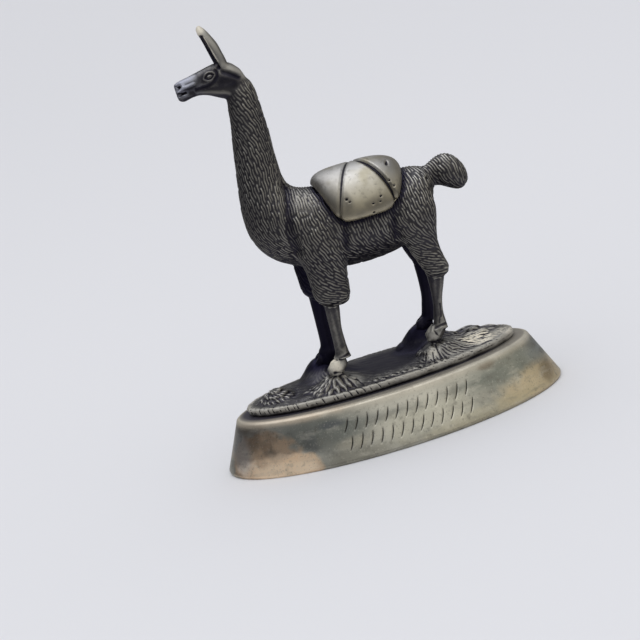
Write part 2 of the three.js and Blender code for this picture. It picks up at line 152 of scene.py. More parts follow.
def speckle(tree, place, size, detail=3.0, stretch=(1, 1, 1)):
    """Cloudy noise from 0 to 1 with blobs of about that size in millimetres."""
    scaled = add_node(tree, "ShaderNodeMapping", {"Vector": place, "Scale": stretch}).outputs[0]
    inputs = {"Vector": scaled, "Scale": 1 / size, "Detail": detail, "Roughness": 0.55}
    return add_node(tree, "ShaderNodeTexNoise", inputs).outputs["Fac"]


def painted_spot(tree, place, middle, half, wobble, soft, wander=0.9):
    """1 inside a blot whose edge wanders by that share of its half size, and 0 outside it."""
    shares = place_sums(tree, "DIVIDE", place_sums(tree, "SUBTRACT", place, middle), half)
    wavering = sums(tree, "MULTIPLY_ADD", wobble, wander, -wander / 2)
    return remap(tree, sums(tree, "ADD", place_sums(tree, "LENGTH", shares), wavering), 1 + soft, 1 - soft)


def colour(red, green, blue):
    """A screen colour, 0 to 255, in the linear values that shaders work in."""
    linear = [((part / 255 + 0.055) / 1.055) ** 2.4 for part in (red, green, blue)]
    return (*linear, 1)


def new_finish(name):
    finish = bpy.data.materials.new(name)
    finish.use_nodes = True
    finish.node_tree.nodes.clear()
    return finish, finish.node_tree


def close_finish(tree, inputs):
    """End a tree in one Principled shader. What is the same all over is set on its own socket."""
    shader = add_node(tree, "ShaderNodeBsdfPrincipled", inputs)
    add_node(tree, "ShaderNodeOutputMaterial", {"Surface": shader.outputs[0]})


print(f"mid grey on a screen is {colour(128, 128, 128)[0]:.3f} in a shader")

# %% [markdown]
# ## Floor and light
#
# Polished metal shows little of its own colour. It shows the room, so the room matters as much as the
# finish. Here the floor is lit evenly and stays pale, while the metal sees a calmer room: dim near the
# table, with one broad soft window high in front and a weaker one to the right. A studio gets the same
# with dark cards just outside the picture.

# %% Floor, sky and lamps
pale_card, dark_card = colour(224, 225, 228), colour(92, 92, 98)
dark_near, dark_far = 0.45, 1.0  # how much of it the metal sees, near and far
dark_from, dark_to = 0.03, 0.085  # from where to where, in metres from the middle
left_wall, right_wall, ceiling = colour(92, 93, 98), colour(146, 145, 143), colour(168, 172, 182)
even_light = colour(246, 246, 249)  # what the floor and all matt things are lit by
sky_patches = [
    # towards, full strength within, gone beyond (degrees), colour, brightness
    [(0.12, -0.47, 0.88), 6, 46, (250, 248, 242), 0.52],  # broad window high in front
    [(0.90, -0.35, 0.25), 5, 35, (250, 245, 232), 0.28],  # weaker one to the right
    [(-0.15, 0.20, 0.97), 5, 38, (238, 240, 248), 1.25],  # cool light overhead
]


def is_for_metal(tree):
    """1 where a ray is on its way to be mirrored, and 0 elsewhere."""
    return add_node(tree, "ShaderNodeLightPath").outputs["Is Glossy Ray"]


def lay_floor(radius=3.0, corners=96):
    mesh = bpy.data.meshes.new("floor")
    turns = [2 * math.pi * i / corners for i in range(corners)]
    mesh.from_pydata([(radius * math.cos(t), radius * math.sin(t), 0) for t in turns], [], [range(corners)])
    floor = in_scene("floor", mesh)
    finish, tree = new_finish("pale_card")
    away = place_sums(tree, "LENGTH", add_node(tree, "ShaderNodeTexCoord").outputs["Object"])
    dark = remap(tree, away, dark_from, dark_to, dark_near, dark_far)
    card = mixed(tree, sums(tree, "MULTIPLY", is_for_metal(tree), dark), pale_card, dark_card)
    close_finish(tree, {"Roughness": 0.9, "Base Color": card})
    mesh.materials.append(finish)


def sky_patch(tree, way, shade, towards, inner, outer, tint, brightness):
    """Add one soft round patch of light to the sky."""
    facing = place_sums(tree, "DOT_PRODUCT", way, Vector(towards).normalized())
    share = remap(tree, facing, math.cos(math.radians(outer)), math.cos(math.radians(inner)))
    light = [part * brightness for part in colour(*tint)[:3]] + [1]
    return mixed(tree, share, shade, light, "ADD")


def light_sky():
    world = bpy.data.worlds.new("soft_room")
    world.use_nodes = True
    tree = world.node_tree
    tree.nodes.clear()
    way = add_node(tree, "ShaderNodeTexCoord").outputs["Generated"]
    parts = add_node(tree, "ShaderNodeSeparateXYZ", {0: way}).outputs
    shade = mixed(tree, remap(tree, parts["X"], -0.9, 0.6), left_wall, right_wall)
    shade = mixed(tree, remap(tree, parts["Z"], 0.3, 0.9), shade, ceiling)
    for patch in sky_patches:
        shade = sky_patch(tree, way, shade, *patch)
    seen = mixed(tree, is_for_metal(tree), even_light, shade)
    glow = add_node(tree, "ShaderNodeBackground", {"Color": seen, "Strength": 1.0})
    add_node(tree, "ShaderNodeOutputWorld", {"Surface": glow.outputs[0]})
    bpy.context.scene.world = world


def hang_lamp(name, place, aim, size, power):
    """A broad lamp that lights the floor and casts its soft shadow, but isn't mirrored in the metal."""
    lamp = bpy.data.lights.new(name, "AREA")
    lamp.shape = "RECTANGLE"
    lamp.size, lamp.size_y = size
    lamp.energy = power
    holder = in_scene(name, lamp)
    holder.location = place
    holder.rotation_euler = (Vector(place) - Vector(aim)).to_track_quat("Z", "Y").to_euler()
    holder.visible_glossy = False


lay_floor()
light_sky()
hang_lamp("overhead_lamp", place=(-0.06, -0.12, 0.42), aim=(0, 0, 0.02), size=(0.30, 0.26), power=0.2)
bpy.context.scene.view_settings.view_transform = "Standard"
print(f"floor, lamp and a room with {len(sky_patches)} soft lights are in place")

# %% [markdown]
# ## Building skins from rings
#
# Legs, neck, head and tail are all tubes whose section changes along the way. A maker would describe
# one by a few rings: where its back and front are and how wide it is. Here each ring is a row of six
# numbers, a smooth line runs through the rows, and a skin is stretched over the rings. Work goes on in
# millimetres, and each piece is brought to metres at the very end.

# %% Skins over rings
def smooth_rows(rows, steps):
    """A Catmull-Rom line through the rows, carried on straight past both ends."""
    rows = np.asarray(rows, float)
    rows = np.vstack([2 * rows[0] - rows[1], rows, 2 * rows[-1] - rows[-2]])
    share = (np.arange(steps) / steps)[:, None]
    pieces = []
    for a, b, c, d in zip(rows[:-3], rows[1:-2], rows[2:-1], rows[3:]):
        bend = (2 * a - 5 * b + 4 * c - d) * share**2 + (3 * b - a - 3 * c + d) * share**3
        pieces.append(0.5 * (2 * b + (c - a) * share + bend))
    return np.vstack([*pieces, rows[-2:-1]])


def rounded_turns(count, power):
    """Cosines and sines round a ring, pushed towards a rounded box as power grows past 2."""
    turns = 2 * math.pi * np.arange(count) / count
    values = np.stack([np.cos(turns), np.sin(turns)])
    return np.sign(values) * np.abs(values) ** (2 / power)


def skin(rings):
    """Points and faces of a closed skin over rings of equal count, pointing outwards."""
    count, sides = rings.shape[:2]
    points = np.vstack([rings.reshape(-1, 3), rings[0].mean(0), rings[-1].mean(0)])
    ahead = (np.arange(sides) + 1) % sides
    faces = []
    for row in range(count - 1):
        low, high = row * sides, (row + 1) * sides
        faces += [(low + j, low + ahead[j], high + ahead[j], high + j) for j in range(sides)]
    first_pole, last_pole, last_row = count * sides, count * sides + 1, (count - 1) * sides
    faces += [(ahead[j], j, first_pole) for j in range(sides)]
    faces += [(last_row + j, last_row + ahead[j], last_pole) for j in range(sides)]
    corner, second, third = (points[[face[k] for face in faces]] for k in range(3))
    if np.einsum("ij,ij->", corner, np.cross(second, third)) < 0:
        faces = [face[::-1] for face in faces]
    return points, faces


def limb(stations, power=2.0, grow=0.0, side=-1, shift=0.0, steps=8, sides=56):
    """A limb through rings of [back x, back z, front x, front z, middle y, half width]."""
    rows = smooth_rows(stations, steps)
    rows[:, [0, 2]] += shift
    middle_y = -side * rows[:, 4]
    back = np.stack([rows[:, 0], middle_y, rows[:, 1]], 1)
    front = np.stack([rows[:, 2], middle_y, rows[:, 3]], 1)
    middle, reach = (back + front) / 2, (back - front) / 2
    depth = np.linalg.norm(reach, axis=1, keepdims=True)
    cosines, sines = rounded_turns(sides, power)
    rings = middle[:, None] + reach[:, None] * (cosines * (1 + grow / depth))[..., None]
    rings[..., 1] += sines * (rows[:, 5:6] + grow)
    rings[..., 2] += plinth_height
    return skin(rings)


def ball(middle, half, tilt=0.0, segments=32):
    """An ellipsoid of the figure, tilted about the y axis."""
    falls = np.linspace(0.02, math.pi - 0.02, segments)
    turns = 2 * math.pi * np.arange(segments) / segments
    across = np.sin(falls)[:, None]
    rings = np.stack([across * np.cos(turns), across * np.sin(turns), np.cos(falls)[:, None] + 0 * turns], -1)
    points, faces = skin(rings * half)
    turned = points @ np.array(Matrix.Rotation(tilt, 3, "Y")).T
    return turned + middle + [0, 0, plinth_height], faces


def together(shells):
    """Several closed skins as one set of points and faces."""
    points, faces, start = [], [], 0
    for shell_points, shell_faces in shells:
        points.append(shell_points)
        faces += [tuple(int(corner) + start for corner in face) for face in shell_faces]
        start += len(shell_points)
    return np.vstack(points), faces


print(f"a ball of the figure is a skin of {len(ball((0, 0, 0), (1, 1, 1))[1])} faces")

# %% [markdown]
# ## Pieces as plain mesh
#
# A modifier changes a piece only while it stays on it. Here each one runs once and is turned into plain
# mesh, so that the next step starts from real points. Remesh melts skins into one, and Boolean cuts one
# piece out of another. Numpy reads and writes all points at once, much faster than a loop.

# %% Make, melt, cut, read and write a piece
def piece(name, shell):
    mesh = bpy.data.meshes.new(name)
    mesh.from_pydata(shell[0].tolist(), [], shell[1])
    return in_scene(name, mesh)


def settle(made):
    """Turn a piece's modifiers into plain mesh."""
    bpy.context.view_layer.update()
    graph = bpy.context.evaluated_depsgraph_get()
    old = made.data
    made.data = bpy.data.meshes.new_from_object(made.evaluated_get(graph))
    made.data.name = made.name
    made.modifiers.clear()
    bpy.data.meshes.remove(old)
    return made


def drop(made):
    bpy.data.objects.remove(made)


def fused(made, voxel):
    """Melt overlapping skins into one surface of small even faces."""
    melt = made.modifiers.new("melt", "REMESH")
    melt.mode = "VOXEL"
    melt.voxel_size = voxel
    melt.use_smooth_shade = True
    return settle(made)


def cut_away(made, cutter):
    cut = made.modifiers.new("cut", "BOOLEAN")
    cut.operation = "DIFFERENCE"
    cut.solver = "EXACT"
    cut.object = cutter
    settle(made)
    drop(cutter)


def read_points(made, what="co"):
    values = np.empty(len(made.data.vertices) * 3, np.float32)
    made.data.vertices.foreach_get(what, values)
    return values.reshape(-1, 3).astype(float)


def shell_of(made):
    """Take the points and faces out of a piece."""
    shell = read_points(made), [tuple(face.vertices) for face in made.data.polygons]
    drop(made)
    return shell


def write_points(made, points):
    made.data.vertices.foreach_set("co", points.astype(np.float32).ravel())
    made.data.update()


def store_values(made, name, values):
    """Keep one number for each vertex, for a node tree to read."""
    layer = made.data.attributes.get(name) or made.data.attributes.new(name, "FLOAT", "POINT")
    layer.data.foreach_set("value", values.astype(np.float32))


print("a piece can be made, melted, cut, read and written")

# %% [markdown]
# ## Smooth and uneven
#
# Casting softens every edge, and handwork leaves nothing quite even. Smoothing moves each point towards the
# mean of its neighbours. Unevenness adds up sine waves that run in scattered directions. They come from a
# fixed seed, so that each run gives the same figure.

# %% Smoothing and unevenness
def edge_ends(made):
    ends = np.empty(len(made.data.edges) * 2, np.int32)
    made.data.edges.foreach_get("vertices", ends)
    return ends.reshape(-1, 2)


def averaged(values, ends, rounds, share=1.0):
    """Move each point's values towards the mean of its neighbours', over and over."""
    count = len(values)
    values = values.reshape(count, -1).copy()
    first, second = ends.T
    links = np.maximum(1, np.bincount(ends.ravel(), minlength=count))
    for _ in range(rounds):
        for column in values.T:
            total = np.bincount(first, column[second], count) + np.bincount(second, column[first], count)
            column += share * (total / links - column)
    return values


def unevenness(points, wavelength, seed, waves=8):
    """Smooth unevenness from about -1 to 1."""
    chance = np.random.default_rng(seed)
    ways = chance.normal(size=(waves, 3))
    lengths = np.linalg.norm(ways, axis=1)[:, None]
    ways *= (2 * math.pi / wavelength) * chance.uniform(0.6, 1.5, (waves, 1)) / lengths
    return np.sin(points @ ways.T + chance.uniform(0, 2 * math.pi, waves)).mean(1) * 1.8


def layered(points, waves):
    """Unevenness of several sizes at once: rows of [height, wavelength, seed]."""
    return sum(height * unevenness(points, wavelength, seed) for height, wavelength, seed in waves)


def eased(values):
    values = np.clip(values, 0, 1)
    return values * values * (3 - 2 * values)


sample = unevenness(np.linspace((0, 0, 0), (100, 0, 0), 500), 9.0, seed=4)
print(f"unevenness runs from {sample.min():.2f} to {sample.max():.2f}")

# %% [markdown]
# ## Geometry Nodes from a script
#
# A node tree is a recipe that Blender runs on a piece. Each tree here has named inputs for its sizes, ends
# by turning what it placed into real mesh, and is run once. A tree's inputs are known to the modifier by
# an identifier rather than by name, so that one is looked up first.

# %% Geometry Nodes helpers
def new_geometry_tree(name, sizes):
    """A modifier tree with a geometry input and output, and one named input for each size."""
    tree = bpy.data.node_groups.new(name, "GeometryNodeTree")
    tree.interface.new_socket("Geometry", in_out="INPUT", socket_type="NodeSocketGeometry")
    for label, kind in sizes.items():
        tree.interface.new_socket(label, in_out="INPUT", socket_type=f"NodeSocket{kind}")
    tree.interface.new_socket("Geometry", in_out="OUTPUT", socket_type="NodeSocketGeometry")
    return tree, add_node(tree, "NodeGroupInput").outputs


def close_geometry_tree(tree, geometry):
    """Turn what was placed into real mesh and clear its material for the finish to come."""
    real = add_node(tree, "GeometryNodeRealizeInstances", {0: geometry}).outputs[0]
    dressed = add_node(tree, "GeometryNodeSetMaterial", {0: real}).outputs[0]
    add_node(tree, "NodeGroupOutput", {0: dressed})


def with_tree(made, tree, values):
    """Run a tree on a piece: its inputs are set by identifier, before it is first evaluated."""
    modifier = made.modifiers.new(tree.name, "NODES")
    modifier.node_group = tree
    for item in tree.interface.items_tree:
        if item.in_out == "INPUT" and item.name in values:
            modifier[item.identifier] = values[item.name]
    settle(made)


def shape_of(tree, given):
    return add_node(tree, "GeometryNodeObjectInfo", {"Object": given}).outputs["Geometry"]


def kept_on_points(tree, name, kind="FLOAT"):
    return add_node(tree, "GeometryNodeInputNamedAttribute", {"Name": name}, data_type=kind).outputs[0]


print("Geometry Nodes helpers are ready")

# %% [markdown]
# ## Cutting fine lines with Geometry Nodes
#
# Wool, grass, rope lines and the marks on the plinth are all narrow grooves that follow a path. Drawing
# each one into the mesh would take thousands of loops. Instead one node tree measures how far every
# point of a surface is from the nearest of a set of lines, and sinks the points that are close. Each
# line tapers: a number on its points says how deep the groove is there.

# %% A node tree that sinks grooves
def groove_tree():
    sizes = {"Lines": "Object", "Groove half width": "Float", "Groove depth": "Float"}
    tree, given = new_geometry_tree("sink_grooves", sizes)
    lines = shape_of(tree, given["Lines"])
    near = add_node(tree, "GeometryNodeProximity", {0: lines}, target_element="EDGES").outputs["Distance"]
    nearest = add_node(tree, "GeometryNodeSampleNearest", {0: lines}, domain="POINT").outputs[0]
    inputs = {0: lines, 1: kept_on_points(tree, "taper"), "Index": nearest}
    taper = add_node(tree, "GeometryNodeSampleIndex", inputs, data_type="FLOAT", domain="POINT").outputs[0]
    inside = remap(tree, sums(tree, "DIVIDE", near, given["Groove half width"]), 1.0, 0.0)
    deep = sums(tree, "MULTIPLY", sums(tree, "MULTIPLY", inside, taper), given["Groove depth"])
    normal = add_node(tree, "GeometryNodeInputNormal").outputs[0]
    offset = place_sums(tree, "SCALE", normal, sums(tree, "MULTIPLY", deep, -1.0))
    inputs = {"Geometry": given["Geometry"], "Offset": offset}
    close_geometry_tree(tree, add_node(tree, "GeometryNodeSetPosition", inputs).outputs[0])
    return tree


sink_grooves = groove_tree()


def line_object(name, paths, tapers):
    """Lines as a mesh of edges, with the depth of the groove at each point."""
    points, edges, depths = [], [], []
    for path, taper in zip(paths, tapers):
        start = len(points)
        points += [tuple(point) for point in path]
        edges += [(start + i, start + i + 1) for i in range(len(path) - 1)]
        depths += list(taper)
    mesh = bpy.data.meshes.new(name)
    mesh.from_pydata(points, edges, [])
    made = in_scene(name, mesh)
    store_values(made, "taper", np.array(depths))
    return made


def groove(made, lines, half_width, depth):
    """Sink a set of lines into a piece; a negative depth raises them."""
    with_tree(made, sink_grooves, {"Lines": lines, "Groove half width": half_width, "Groove depth": depth})
    drop(lines)


print(f"the groove tree has {len(sink_grooves.nodes)} nodes")

# %% [markdown]
# ## Plinth
#
# The plinth is sheet silver raised over a former, so its wall is never perfectly even, and polishing has
# rounded its top edge to a bright line. Its outline is an ellipse that shrinks on the way up, which a
# loop of rings gives exactly. The columns stand closer together at the front, where the engraving needs
# them. The unevenness is put into the mesh itself, because a wavy reflection is what tells the eye that
# the metal is real.

# %% Plinth form
plinth_flare = 3.0
foot_round = 0.45
rim_round = 0.5
rim_width = 1.1
plinth_columns = 720
front_crowding = 0.6  # 0 spaces the columns evenly
foot_rows, wall_rows, rim_rows = 7, 84, 14
top_steps = (0.3, 0.8, 1.4, 2.4)  # rows on the flat top, in from the rim
plinth_waves = [(0.03, 9.0, 4), (0.01, 2.6, 5)]  # height, wavelength, seed
wave_margin = 1.5  # the waves die out this near the foot and the top


def wall_inset(z):
    return plinth_flare * (z - foot_round) / (plinth_height - foot_round)


def plinth_profile():
    """Rows of [how far in from the foot's outline, height], from the foot up to the flat top."""
    foot = [[foot_round / 2 * (1 - math.sin(a)), foot_round * (1 - math.cos(a))]
            for a in np.radians(np.linspace(0, 90, foot_rows))]
    touch = math.atan(plinth_flare / (plinth_height - foot_round) * rim_round / rim_width)
    round_z = plinth_height - rim_round
    touch_z = round_z + rim_round * math.sin(touch)
    round_inset = wall_inset(touch_z) + rim_width * math.cos(touch)
    wall = [[wall_inset(z), z] for z in np.linspace(foot_round, touch_z, wall_rows)[1:-1]]
    rim = [[round_inset - rim_width * math.cos(a), round_z + rim_round * math.sin(a)]
           for a in np.linspace(touch, math.pi / 2, rim_rows)]
    top = [[round_inset + step, plinth_height] for step in top_steps]
    return foot + wall + rim + top


def column_turns():
    turns = 2 * math.pi * np.arange(plinth_columns) / plinth_columns
    return turns - front_crowding * np.cos(turns)


def oval(inset, z):
    turns = column_turns()
    x = (plinth_length / 2 - inset) * np.cos(turns)
    y = (plinth_width / 2 - inset) * np.sin(turns)
    return np.stack([x, y, np.full(len(turns), z)], 1)


def plinth_piece():
    made = piece("plinth_shell", skin(np.stack([oval(inset, z) for inset, z in plinth_profile()])))
    points, outward = read_points(made), read_points(made, "normal")
    outward[:, 2] = 0
    on_wall = eased(points[:, 2] / wave_margin) * eased((plinth_height - points[:, 2]) / wave_margin)
    write_points(made, points + outward * (layered(points, plinth_waves) * on_wall)[:, None])
    return made


plinth = plinth_piece()
print(f"plinth has {len(plinth.data.vertices)} points")

# %% [markdown]
# The front wall carries two rows of short engraved strokes. A graver leaves a groove that starts thin,
# swells and runs out again. Each stroke is a line laid on the wall, its taper follows that swelling, and
# the groove tree cuts them all at once.

# %% Engraved strokes
stroke_rows = 2
strokes_in_row = 13
stroke_length = 1.9
stroke_lengths = (0.9, 1.1)  # shortest and longest, as shares of that
stroke_pitch = 1.35
stroke_row_pitch = 2.2
stroke_lean = 0.45
stroke_leans = (-0.07, 0.07)  # by how much more or less
stroke_bow = 0.12
stroke_field_x = 1.4


def wall_front_y(x, z):
    inset = wall_inset(z)
    return -(plinth_width / 2 - inset) * math.sqrt(1 - (x / (plinth_length / 2 - inset)) ** 2)


def engraved_strokes(points=13):
    paths, chance = [], np.random.default_rng(3)
    for row in range(stroke_rows):
        middle_z = plinth_height / 2 + (row - (stroke_rows - 1) / 2) * stroke_row_pitch
        for i in range(strokes_in_row):
            middle_x = stroke_field_x + (i - (strokes_in_row - 1) / 2) * stroke_pitch
            length = stroke_length * chance.uniform(*stroke_lengths)
            lean = stroke_lean + chance.uniform(*stroke_leans)
            path = []
            for along in np.linspace(-0.5, 0.5, points) * length:
                bow = stroke_bow * math.cos(math.pi * along / length)
                x = middle_x + along * math.sin(lean) + bow
                z = middle_z + along * math.cos(lean)
                path.append((x, wall_front_y(x, z), z))
            paths.append(path)
    swell = np.sin(np.linspace(0.04, 0.96, points) * math.pi) ** 0.6
    return line_object("stroke_lines", paths, [swell] * len(paths))


groove(plinth, engraved_strokes(), half_width=0.14, depth=0.1)
print(f"{stroke_rows * strokes_in_row} strokes cut")

# %% [markdown]
# ## The llama's rings
#
# These are the same rings as the solid's, over the plinth's top and in millimetres. Each row gives the
# back, the front, the middle's y and the half width. The solid joins them with a few flat faces, and
# here a smooth line runs through them.

# %% Rings of the trunk, tail, head, ears and legs
trunk_rings = [
    [-7, 44.3, -9, 43, 0, 1.2],
    [-6, 43.1, -8.9, 41.4, 0, 1.7],
    [-5.35, 41.9, -9, 40.5, 0, 1.88],
    [-5.12, 39.6, -9.2, 38.6, 0, 2.05],
    [-5.05, 36.1, -9.75, 35.6, 0, 2.3],
    [-5.15, 32.9, -10.35, 32.4, 0, 2.65],
    [-5.17, 30.3, -10.8, 29.7, 0, 3],
    [-4.9, 28.6, -11.2, 27.1, 0, 3.45],
    [-4.3, 27.65, -11.35, 24.9, 0, 3.85],
    [-3.4, 27.15, -11.1, 22.6, 0, 4.15],
    [-2.4, 26.9, -10.2, 20.6, 0, 4.35],
    [-1.2, 26.7, -8.6, 18.9, 0, 4.5],
    [0.2, 26.4, -6, 17.4, 0, 4.6],
    [2, 26.05, -2.5, 16, 0, 4.65],
    [4, 25.85, 1.5, 15.55, 0, 4.65],
    [6.5, 25.75, 5, 15.6, 0, 4.65],
    [9, 25.8, 8, 16.2, 0, 4.5],
    [10.8, 25.6, 10.3, 17.6, 0, 4.2],
    [12.2, 25.2, 12, 19.6, 0, 3.5],
    [13.1, 24.3, 12.9, 21.4, 0, 2.3],
    [13.4, 23.4, 13.3, 22.4, 0, 1],
]
_, back_z, _, belly_z, _, barrel_half_width = trunk_rings[14]

tail_rings = [
    [12.2, 25.1, 11.8, 22.4, 0, 0.8],
    [13.4, 25.35, 12.9, 22.5, 0, 0.9],
    [14.6, 25.85, 13.7, 22.35, 0, 1.2],
    [15.8, 25.95, 14.3, 22.2, 0, 1.6],
    [17, 25.2, 14.9, 21.85, 0, 1.85],
    [17.8, 23.8, 15.5, 21.5, 0, 1.8],
    [17.95, 22.4, 16.1, 21.2, 0, 1.5],
    [17.6, 21.5, 16.6, 21, 0, 0.9],
    [17.2, 21.1, 16.8, 21, 0, 0.3],
]
head_rings = [
    [-14.88, 44.4, -14.86, 42.95, 0, 0.5],
    [-14.75, 44.65, -14.7, 42.45, 0, 0.8],
    [-14, 44.9, -14.1, 42.2, 0, 0.95],
    [-13, 45.05, -13, 42.4, 0, 1.02],
    [-12, 45.25, -12, 42.4, 0, 1.15],
    [-11, 45.4, -11, 42.1, 0, 1.4],
    [-10, 45.6, -10.1, 41.6, 0, 1.6],
    [-9, 45.75, -9.2, 41.1, 0, 1.75],
    [-8, 45.6, -8.2, 41, 0, 1.8],
    [-7.1, 45.1, -7.3, 41.2, 0, 1.7],
    [-6.3, 44.2, -6.5, 41.9, 0, 1.4],
    [-5.9, 43.4, -6, 42.6, 0, 0.8],
]
ear_rings = [
    [-9.55, 50.8, -9.95, 50.75, -0.62, 0.15],
    [-9, 50.1, -10.15, 50.2, -0.75, 0.38],
    [-8.45, 49, -9.85, 49.1, -0.98, 0.55],
    [-8, 47.9, -9.62, 48, -1.12, 0.68],
    [-7.75, 46.7, -9.4, 46.9, -1.1, 0.7],
    [-7.55, 45.7, -9.2, 45.9, -0.95, 0.6],
    [-7.6, 44.9, -9.1, 44.9, -0.8, 0.5],
]
fore_fleece_rings = [
    [-1, 25.2, -5.2, 25.2, -2.4, 1.2],
    [-0.4, 22.4, -6.3, 22.4, -2.75, 2.1],
    [0.35, 19.5, -6.1, 19.5, -2.95, 2.15],
    [-0.2, 17.5, -5.75, 17.5, -2.95, 2.05],
    [-0.75, 15, -5.6, 15, -2.95, 1.95],
    [-1, 13.2, -5.6, 13.6, -2.9, 1.9],
    [-1.3, 12.1, -5.35, 12.8, -2.85, 1.8],
    [-2.2, 11.65, -4.7, 12.1, -2.8, 1.2],
]
fore_leg_rings = [
    [-2.7, 12.9, -4.7, 12.9, -2.8, 0.85],
    [-2.95, 11, -4.75, 11, -2.8, 0.8],
    [-3.4, 8.6, -4.85, 8.6, -2.8, 0.72],
    [-3.45, 6.6, -4.95, 6.6, -2.8, 0.72],
    [-3.4, 5.4, -5.1, 5.4, -2.8, 0.82],
    [-3.25, 4.5, -5.5, 4.75, -2.8, 1],
]
hind_fleece_rings = [
    [12.3, 23.8, 7.6, 23.8, -2.2, 1.4],
    [12.7, 21, 6.8, 20.6, -2.7, 2.15],
    [12.3, 18.8, 6.95, 18.4, -2.85, 2.1],
    [11.75, 16.7, 7.7, 16.4, -2.85, 1.75],
    [11.75, 15, 8.3, 14.6, -2.8, 1.4],
    [11.95, 13.4, 8.9, 12.9, -2.8, 1.15],
    [12.3, 12.1, 9.3, 11.7, -2.8, 0.98],
    [11.7, 11.3, 9.7, 11.2, -2.8, 0.75],
]
hind_leg_rings = [
    [11.7, 12.2, 9.1, 12.2, -2.8, 0.75],
    [11.1, 10.5, 9.1, 10.3, -2.8, 0.75],
    [10.3, 8.4, 8.95, 8.1, -2.8, 0.65],
    [9.95, 6.7, 8.6, 6.6, -2.8, 0.66],
    [9.95, 5.3, 8.3, 5.5, -2.8, 0.78],
    [9.98, 4.3, 8, 4.9, -2.8, 0.95],
]
leg_middle_y = 2.8
fore = {"fleece": fore_fleece_rings, "bare": fore_leg_rings, "hoof_x": -5.3}
hind = {"fleece": hind_fleece_rings, "bare": hind_leg_rings, "hoof_x": 8.15}
# each leg's side, its shift along x, the height of its sole, and how much thicker its bare part is
near_fore = {**fore, "side": -1, "shift": 0.0, "sole_z": 2.5, "grow": 0.05}
far_heel = [[-3.35, 3.7, -5.8, 4.0, -2.8, 0.9], [-3.6, 3.0, -5.8, 3.0, -2.8, 0.8]]
far_fore = {**fore, "bare": fore_leg_rings + far_heel, "side": 1, "shift": -1.2, "sole_z": 2.6, "grow": 0.3}
near_hind = {**hind, "side": -1, "shift": 0.0, "sole_z": 3.0, "grow": 0.0}
far_hind = {**hind, "side": 1, "shift": -0.62, "sole_z": 3.1, "grow": 0.17}
legs = [near_fore, far_fore, near_hind, far_hind]
fleece_power = 2.3  # 2 is a true oval, and more is boxier
print(f"{len(trunk_rings)} rings for the neck and trunk, {len(legs)} legs")

# %% [markdown]
# ## Ground
#
# The ground is a thin rocky plate with a mound under each hoof. Its top is a height that can be worked
# out at any place: a level, plus one soft rise for each mound. Boulders lie at the foot of the near
# mounds and beside the far hind hoof. The plate's edge is rolled like a cord, which is made further on.

# %% Height of the ground
ledge = 1.75
ground_rim_top = 1.1
ground_foot_inset = 0.2
ground_level = 1.3
ground_half_length = plinth_length / 2 - plinth_flare - ledge
ground_half_width = plinth_width / 2 - plinth_flare - ledge
mound_half = (3.9, 3.6)
mound_spread = 1.15
edge_fall = 0.25  # the outer share of the ground, over which the rises die out
rises = [  # x, y, top, half length, half width
    *((leg["hoof_x"] + leg["shift"], leg["side"] * leg_middle_y, leg["sole_z"], *mound_half) for leg in legs),
    (-7.6, 3.9, 2.7, 3.6, 2.7),  # behind the fore hooves
    (5.8, 3.6, 2.6, 3.6, 2.8),  # behind the hind hooves
    (-14.2, -0.2, 2.5, 2.6, 2.4),  # under the tuft at the head end
    (13.2, 2.6, 1.8, 3.2, 2.4),  # at the tail end
]


def share_to_edge(x, y):
    """0 in the middle of the ground and 1 at its outline."""
    return np.hypot(x / ground_half_length, y / ground_half_width)


def ground_height(x, y):
    """Height of the ground over the plinth's top, for numbers or whole arrays."""
    height = np.full(np.shape(x), ground_level, float)
    for rise_x, rise_y, top, half_length, half_width in rises:
        near = eased(mound_spread - np.hypot((x - rise_x) / half_length, (y - rise_y) / half_width))
        height += (top - ground_level) * near
    inside = 1 - eased((share_to_edge(x, y) - (1 - edge_fall)) / edge_fall)
    return ground_rim_top + np.maximum(0, height - ground_rim_top) * inside


print(f"the ground is {ground_height(-5.3, -2.8):.2f} mm high under the near fore hoof")

# %% Ground plate and boulders
ground_waves = [(0.05, 3.4, 11), (0.03, 1.2, 12)]  # height, wavelength, seed
outline_waves = [(0.006, 1.3, 13)]  # the same for the outline, as a share of its size
boulder_waves = [(0.06, 1.1, 31)]
edge_rows = [  # how far in from the outline, height
    (0.06, ground_rim_top - 0.06), (0, ground_rim_top - 0.2), (0, 0.3), (ground_foot_inset, 0.1),
    (ground_foot_inset, 0),
]
boulders = [
    # middle, half sizes, tilt
    [(-4.3, -4.5, 1.35), (1, 1.1, 0.95), 0.5],
    [(-3.3, -4.9, 0.95), (1.3, 1, 0.6), 0.3],
    [(6.9, -4, 1.55), (0.85, 1, 1.35), 0.15],
    [(6.2, -3.6, 1.3), (0.7, 0.9, 0.9), -0.3],
    [(7.6, -4.6, 1), (0.6, 0.7, 0.8), 0.2],
    [(4.3, 3.4, 1.6), (1.6, 1.4, 0.9), -0.3],
]


def ground_shell(rings=90, sectors=420, first=0.02, last=0.985, rough_within=0.97):
    turns = 2 * math.pi * np.arange(sectors) / sectors

    def level(share, inset, height=None):
        x = share * (ground_half_length - inset) * np.cos(turns)
        y = share * (ground_half_width - inset) * np.sin(turns)
        places = np.stack([x, y, 0 * x], 1)
        if share == 1:
            lumps = 1 + layered(places, outline_waves)
            x, y = x * lumps, y * lumps
        rough = layered(places, ground_waves) * (share < rough_within)
        z = ground_height(x, y) + rough if height is None else np.full(sectors, height)
        return np.stack([x, y, z + plinth_height], 1)

    top = [level(share, 0) for share in np.linspace(first, last, rings)]
    return skin(np.stack(top + [level(1, inset, height) for inset, height in edge_rows]))


